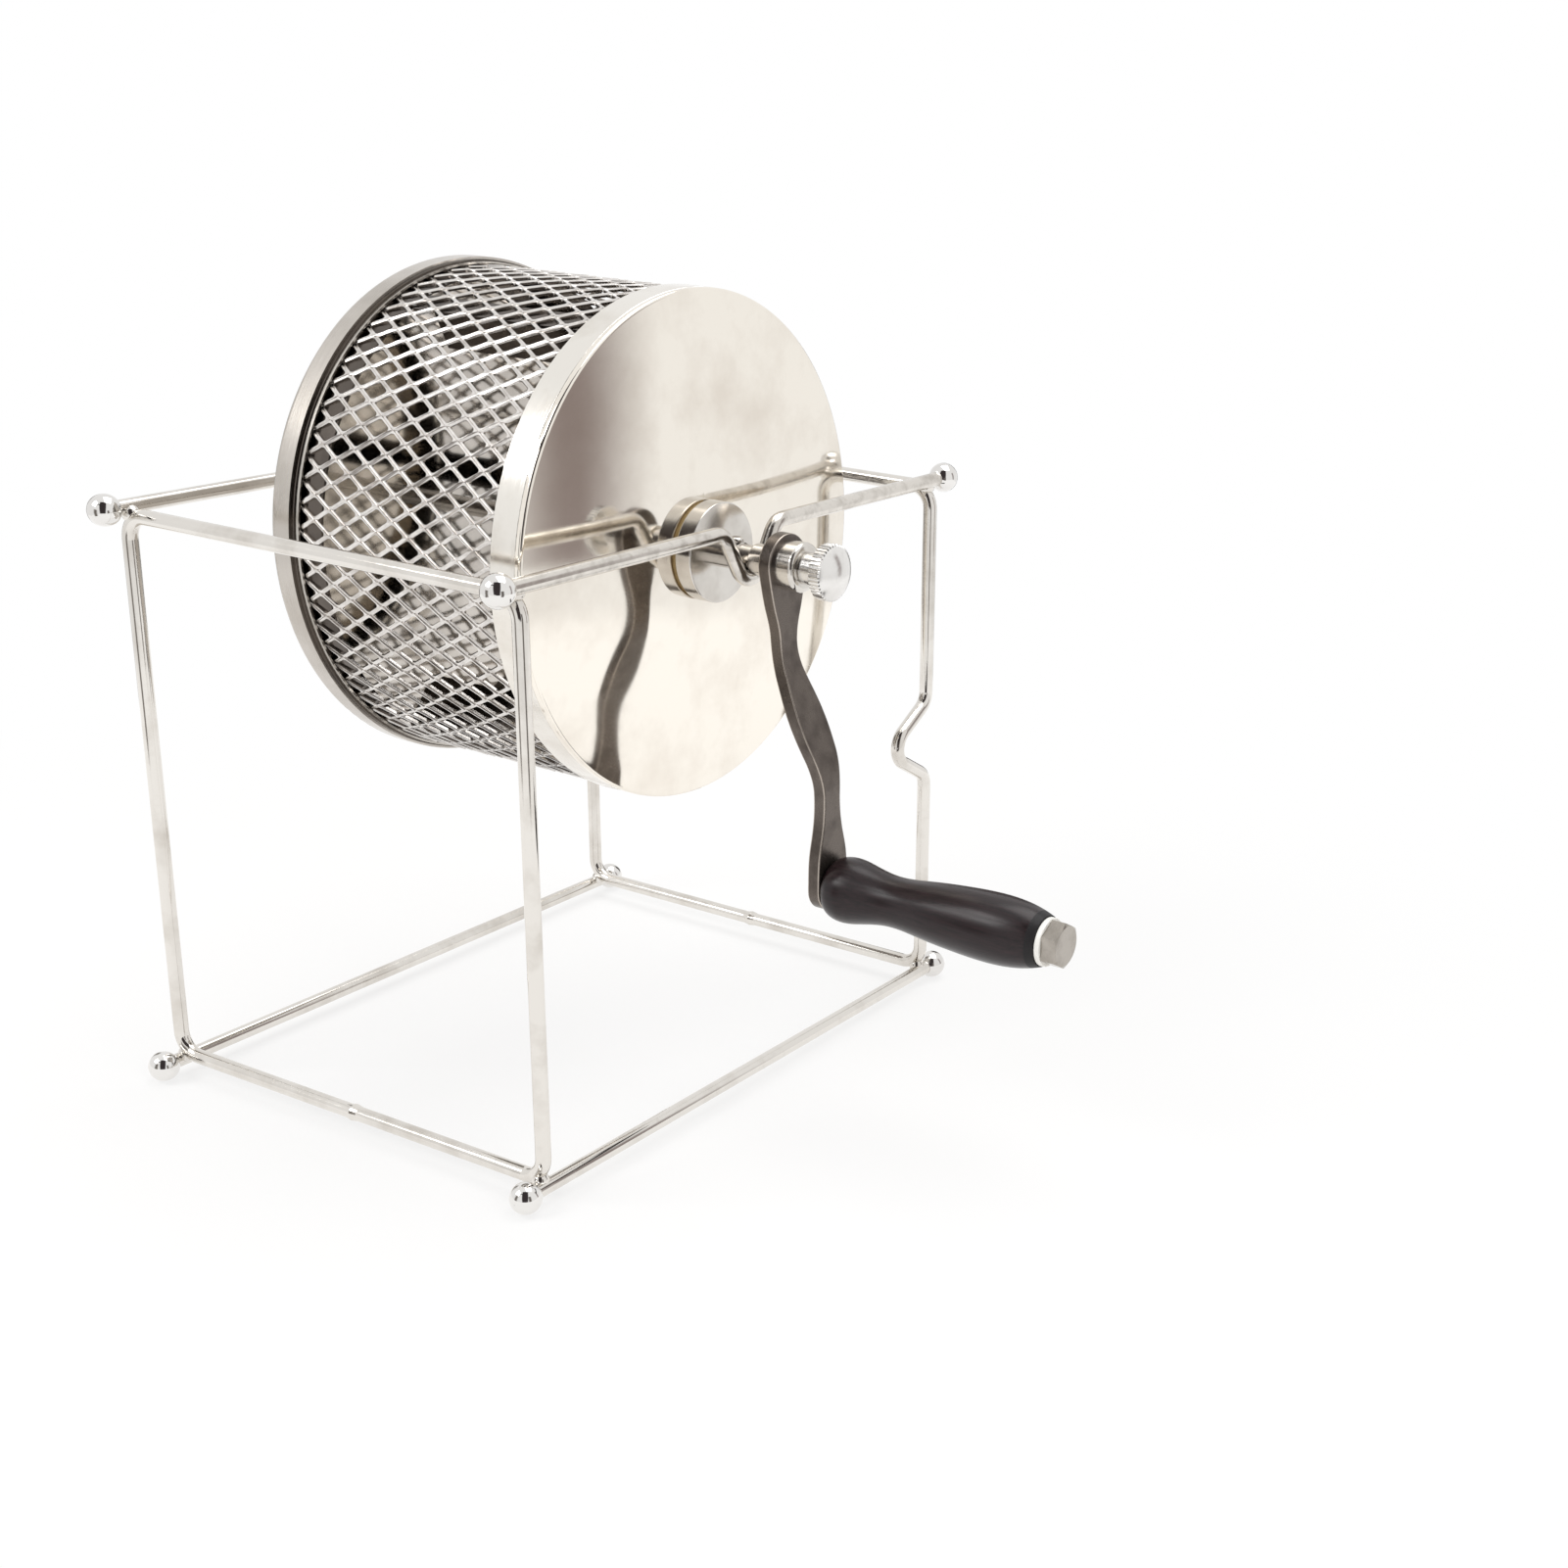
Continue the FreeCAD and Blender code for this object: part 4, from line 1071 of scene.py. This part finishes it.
@dataclass(frozen=True)
class Card:
    """A plain card that stands in the studio and shows only in bright metal.

    Attributes:
        name: the card's name.
        centre: its middle in metres.
        size: its width and height in metres.
        shade: sRGB hex.
        soft: how much of the width its two sides take to fade away.
        faces: height in metres of the point on the shaft's middle that it faces.
    """

    name: str
    centre: tuple[float, float, float]
    size: tuple[float, float]
    shade: str
    soft: float = 0.3
    faces: float = 0.16

    def stand(self) -> None:
        """Make the card, facing the object."""
        deselect()
        facing = Vector((0, 0, self.faces)) - Vector(self.centre)
        bpy.ops.mesh.primitive_plane_add(
            size=1.0, location=self.centre, rotation=facing.to_track_quat("Z", "Y").to_euler()
        )
        item = bpy.context.object
        item.scale = (self.size[0], self.size[1], 1)
        item.name = self.name
        material, tree, place = start_material(self.name)
        glow = add_node(tree, "ShaderNodeEmission", {"Color": to_linear(self.shade), "Strength": 1.0})
        clear = add_node(tree, "ShaderNodeBsdfTransparent", {})
        across = add_node(tree, "ShaderNodeSeparateXYZ", {"Vector": place}).outputs["X"]
        aside = add_node(tree, "ShaderNodeMath", {0: across}, operation="ABSOLUTE").outputs[0]
        fade = add_node(
            tree,
            "ShaderNodeMapRange",
            {"Value": aside, "From Min": 0.5 - self.soft / 2, "From Max": 0.5},
            interpolation_type="SMOOTHSTEP",
        ).outputs["Result"]
        mixed = add_node(tree, "ShaderNodeMixShader", {0: fade, 1: glow.outputs[0], 2: clear.outputs[0]})
        tree.links.new(mixed.outputs[0], tree.nodes["Material Output"].inputs["Surface"])
        item.data.materials.append(material)
        for ray in ("camera", "diffuse", "transmission", "volume_scatter", "shadow"):
            setattr(item, f"visible_{ray}", False)
        item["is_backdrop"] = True


# Dark and grey cards, as a photographer stands them round steel to draw its edges.
CARDS = (
    Card("room_card", (0.86, -1.11, 1.00), (1.45, 2.50), "3E3839"),
    Card("front_card", (-0.12, -0.47, 0.13), (0.24, 0.27), "7D7772", 0.8),
    Card("right_card", (0.44, -0.22, 0.13), (0.20, 0.27), "6E6864", 0.8),
    Card("back_card", (-0.09, 0.50, 0.13), (0.26, 0.27), "4A4643", 0.7),
    Card("left_card", (-0.50, 0.06, 0.15), (0.26, 0.31), "8F8A85", 0.9),
    Card("grey_card", (0.616, 0.423, 0.26), (0.26, 0.50), "958A88", 0.95),
    Card("long_card", (0.00, -0.95, 1.10), (1.90, 0.12), "3A3735"),
)


@dataclass(frozen=True)
class Lamp:
    """A rectangular soft box.

    Attributes:
        name: the lamp's name.
        place: its place in metres.
        size: its width and height in metres.
        watts: its power.
        shows: whether bright metal reflects it.
        aim: height in metres of the point on the shaft's middle that it lights.
    """

    name: str
    place: tuple[float, float, float]
    size: tuple[float, float]
    watts: float
    shows: bool
    aim: float = 0.12

    def hang(self) -> None:
        """Hang the lamp, facing the object."""
        data = bpy.data.lights.new(self.name, "AREA")
        data.shape = "RECTANGLE"
        data.size, data.size_y = self.size
        data.energy = self.watts
        item = bpy.data.objects.new(self.name, data)
        item.location = self.place
        facing = Vector((0, 0, self.aim)) - Vector(self.place)
        item.rotation_euler = facing.to_track_quat("-Z", "Y").to_euler()
        item.visible_glossy = self.shows
        bpy.context.scene.collection.objects.link(item)


# A soft box at the front, one above, and a lamp for the shadows.
LAMPS = (
    Lamp("key_lamp", (-0.75, -1.15, 1.30), (0.9, 0.8), 13.0, True),
    Lamp("top_lamp", (0.25, 0.45, 1.75), (1.5, 1.1), 13.0, True),
    Lamp("fill_lamp", (1.60, -0.50, 0.90), (0.9, 0.9), 6.0, False),
)


@dataclass
class Studio:
    """Floor, lamps, cards, world and camera.

    Attributes:
        place: the camera's place in metres.
        turn: the camera's direction round the object, in degrees.
        tilt: its height above the horizon, in degrees.
        roll: its lean, in degrees.
        focal: its focal length in pixels of the photograph.
        centre: the optical centre in pixels of the photograph.
        image: the photograph's side in pixels.
        sensor: the sensor's width in millimetres.
        near_clip: how near the camera sees, in metres.
        surround: strength of the surround where it lights the object.
        floor_side: the floor's side in metres.
        floor_drop: how far the floor lies under the feet, in metres.
        paper: sRGB hex of the paper on the floor.
        paper_roughness: roughness of that paper.
        paper_share: share of plain white in the paper under the object, which keeps its shadow.
        shadow_from: distance in metres at which that share starts to rise.
        shadow_by: distance by which the floor is all white.
        paper_edge: how far the paper reaches; metal shows a greyer floor beyond it.
        paper_blur: how far that edge blurs inwards and outwards, in metres.
        paper_glow: strength of the paper in bright metal.
        floor_glow: strength of the floor beyond it.
    """

    place: tuple[float, float, float] = (0.49996, -0.54748, 0.33660)
    turn: float = 28.70
    tilt: float = 20.49
    roll: float = 2.79
    focal: float = 2287.7
    centre: tuple[float, float] = (1102.19, 888.35)
    image: float = 1601.0
    sensor: float = 36.0
    near_clip: float = 0.01
    surround: float = 0.55
    floor_side: float = 80.0
    floor_drop: float = 0.2 * MM
    paper: str = "F6F4F2"
    paper_roughness: float = 0.9
    paper_share: float = 0.72
    shadow_from: float = 0.12
    shadow_by: float = 0.45
    paper_edge: float = 0.62
    paper_blur: tuple[float, float] = (0.02, 0.05)
    paper_glow: float = 1.17
    floor_glow: float = 1.00

    def camera(self) -> None:
        """Set up the camera as it stood for the photograph."""
        turn, tilt, roll = (math.radians(angle) for angle in (self.turn, self.tilt, self.roll))
        back = Vector((math.sin(turn) * math.cos(tilt), -math.cos(turn) * math.cos(tilt), math.sin(tilt)))
        right = Vector((math.cos(turn), math.sin(turn), 0))
        up = back.cross(right)
        leaning_right = right * math.cos(roll) + up * math.sin(roll)
        leaning_up = up * math.cos(roll) - right * math.sin(roll)
        data = bpy.data.cameras.new("camera")
        data.sensor_width = self.sensor
        data.lens = self.focal * self.sensor / self.image
        data.shift_x = (self.image / 2 - self.centre[0]) / self.image
        data.shift_y = (self.centre[1] - self.image / 2) / self.image
        data.clip_start = self.near_clip
        item = bpy.data.objects.new("camera", data)
        axes = Matrix((leaning_right, leaning_up, back)).transposed().to_4x4()
        item.matrix_world = Matrix.Translation(Vector(self.place)) @ axes
        bpy.context.scene.collection.objects.link(item)
        bpy.context.scene.camera = item

    def ray_is(self, tree: Tree, *kinds: str) -> Socket:
        """Tell rays of the given kinds from others.

        Args:
            tree: the node tree.
            kinds: outputs of Light Path.

        Returns:
            The socket that is 1 for such a ray and 0 for another.
        """
        rays = add_node(tree, "ShaderNodeLightPath", {}).outputs
        found = rays[kinds[0]]
        for kind in kinds[1:]:
            found = add_node(
                tree, "ShaderNodeMath", {0: found, 1: rays[kind]}, operation="MAXIMUM"
            ).outputs[0]
        return found

    def world(self) -> None:
        """Make a white surround that lights the object at a plain level."""
        world = bpy.data.worlds.new("studio")
        world.use_nodes = True
        tree = world.node_tree
        seen = self.ray_is(tree, "Is Camera Ray", "Is Glossy Ray", "Is Transmission Ray")
        strength = add_node(
            tree, "ShaderNodeMapRange", {"Value": seen, "To Min": self.surround, "To Max": 1.0}
        ).outputs["Result"]
        background = tree.nodes["Background"]
        background.inputs["Color"].default_value = (1, 1, 1, 1)
        tree.links.new(strength, background.inputs["Strength"])
        bpy.context.scene.world = world

    def floor(self) -> None:
        """Lay white paper that keeps the object's shadow and runs out white to the horizon."""
        deselect()
        bpy.ops.mesh.primitive_plane_add(size=self.floor_side, location=(0, 0, -self.floor_drop))
        item = bpy.context.object
        item.name = "floor"
        material, tree, place = start_material("pale_paper")
        shader = tree.nodes["Principled BSDF"]
        shader.inputs["Base Color"].default_value = to_linear(self.paper)
        shader.inputs["Roughness"].default_value = self.paper_roughness
        away = add_node(tree, "ShaderNodeVectorMath", {0: place}, operation="LENGTH").outputs["Value"]
        white = add_node(
            tree,
            "ShaderNodeMapRange",
            {
                "Value": away,
                "From Min": self.shadow_from,
                "From Max": self.shadow_by,
                "To Min": self.paper_share,
                "To Max": 1.0,
            },
        ).outputs["Result"]
        reflected = add_node(
            tree,
            "ShaderNodeMapRange",
            {
                "Value": away,
                "From Min": self.paper_edge - self.paper_blur[0],
                "From Max": self.paper_edge + self.paper_blur[1],
                "To Min": self.paper_glow,
                "To Max": self.floor_glow,
            },
        ).outputs["Result"]
        level = add_node(
            tree,
            "ShaderNodeMix",
            {0: self.ray_is(tree, "Is Glossy Ray"), 2: 1.0, 3: reflected},
            data_type="FLOAT",
        ).outputs[0]
        glow = add_node(tree, "ShaderNodeEmission", {"Color": (1, 1, 1, 1), "Strength": level})
        seen = self.ray_is(tree, "Is Camera Ray", "Is Glossy Ray")
        share = add_node(tree, "ShaderNodeMath", {0: seen, 1: white}, operation="MULTIPLY").outputs[0]
        mixed = add_node(tree, "ShaderNodeMixShader", {0: share, 1: shader.outputs[0], 2: glow.outputs[0]})
        tree.links.new(mixed.outputs[0], tree.nodes["Material Output"].inputs["Surface"])
        item.data.materials.append(material)
        item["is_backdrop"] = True

    def build(self) -> None:
        """Set up everything round the object."""
        self.camera()
        self.world()
        for lamp in LAMPS:
            lamp.hang()
        self.floor()
        for card in CARDS:
            card.stand()
        bpy.context.scene.view_settings.view_transform = "Standard"


def main() -> list[list[float]]:
    """Dress the frame, model what it lacks and set up the studio.

    Returns:
        The CAD model's box, as its lowest and highest corners.
    """
    logging.basicConfig(level=logging.INFO, format="%(name)s: %(message)s")
    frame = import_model()
    cad_box = [list(corner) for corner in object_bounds()]
    axis_height = frame["joints"][0]["pos_m"][2]
    for kind in (Stand, DrumWall, Crank, Hub):
        sub_assembly = kind(frame, axis_height)
        sub_assembly.dress()
        sub_assembly.build()
    Studio().build()
    return cad_box


if __name__ == "__main__":
    cad_box = main()
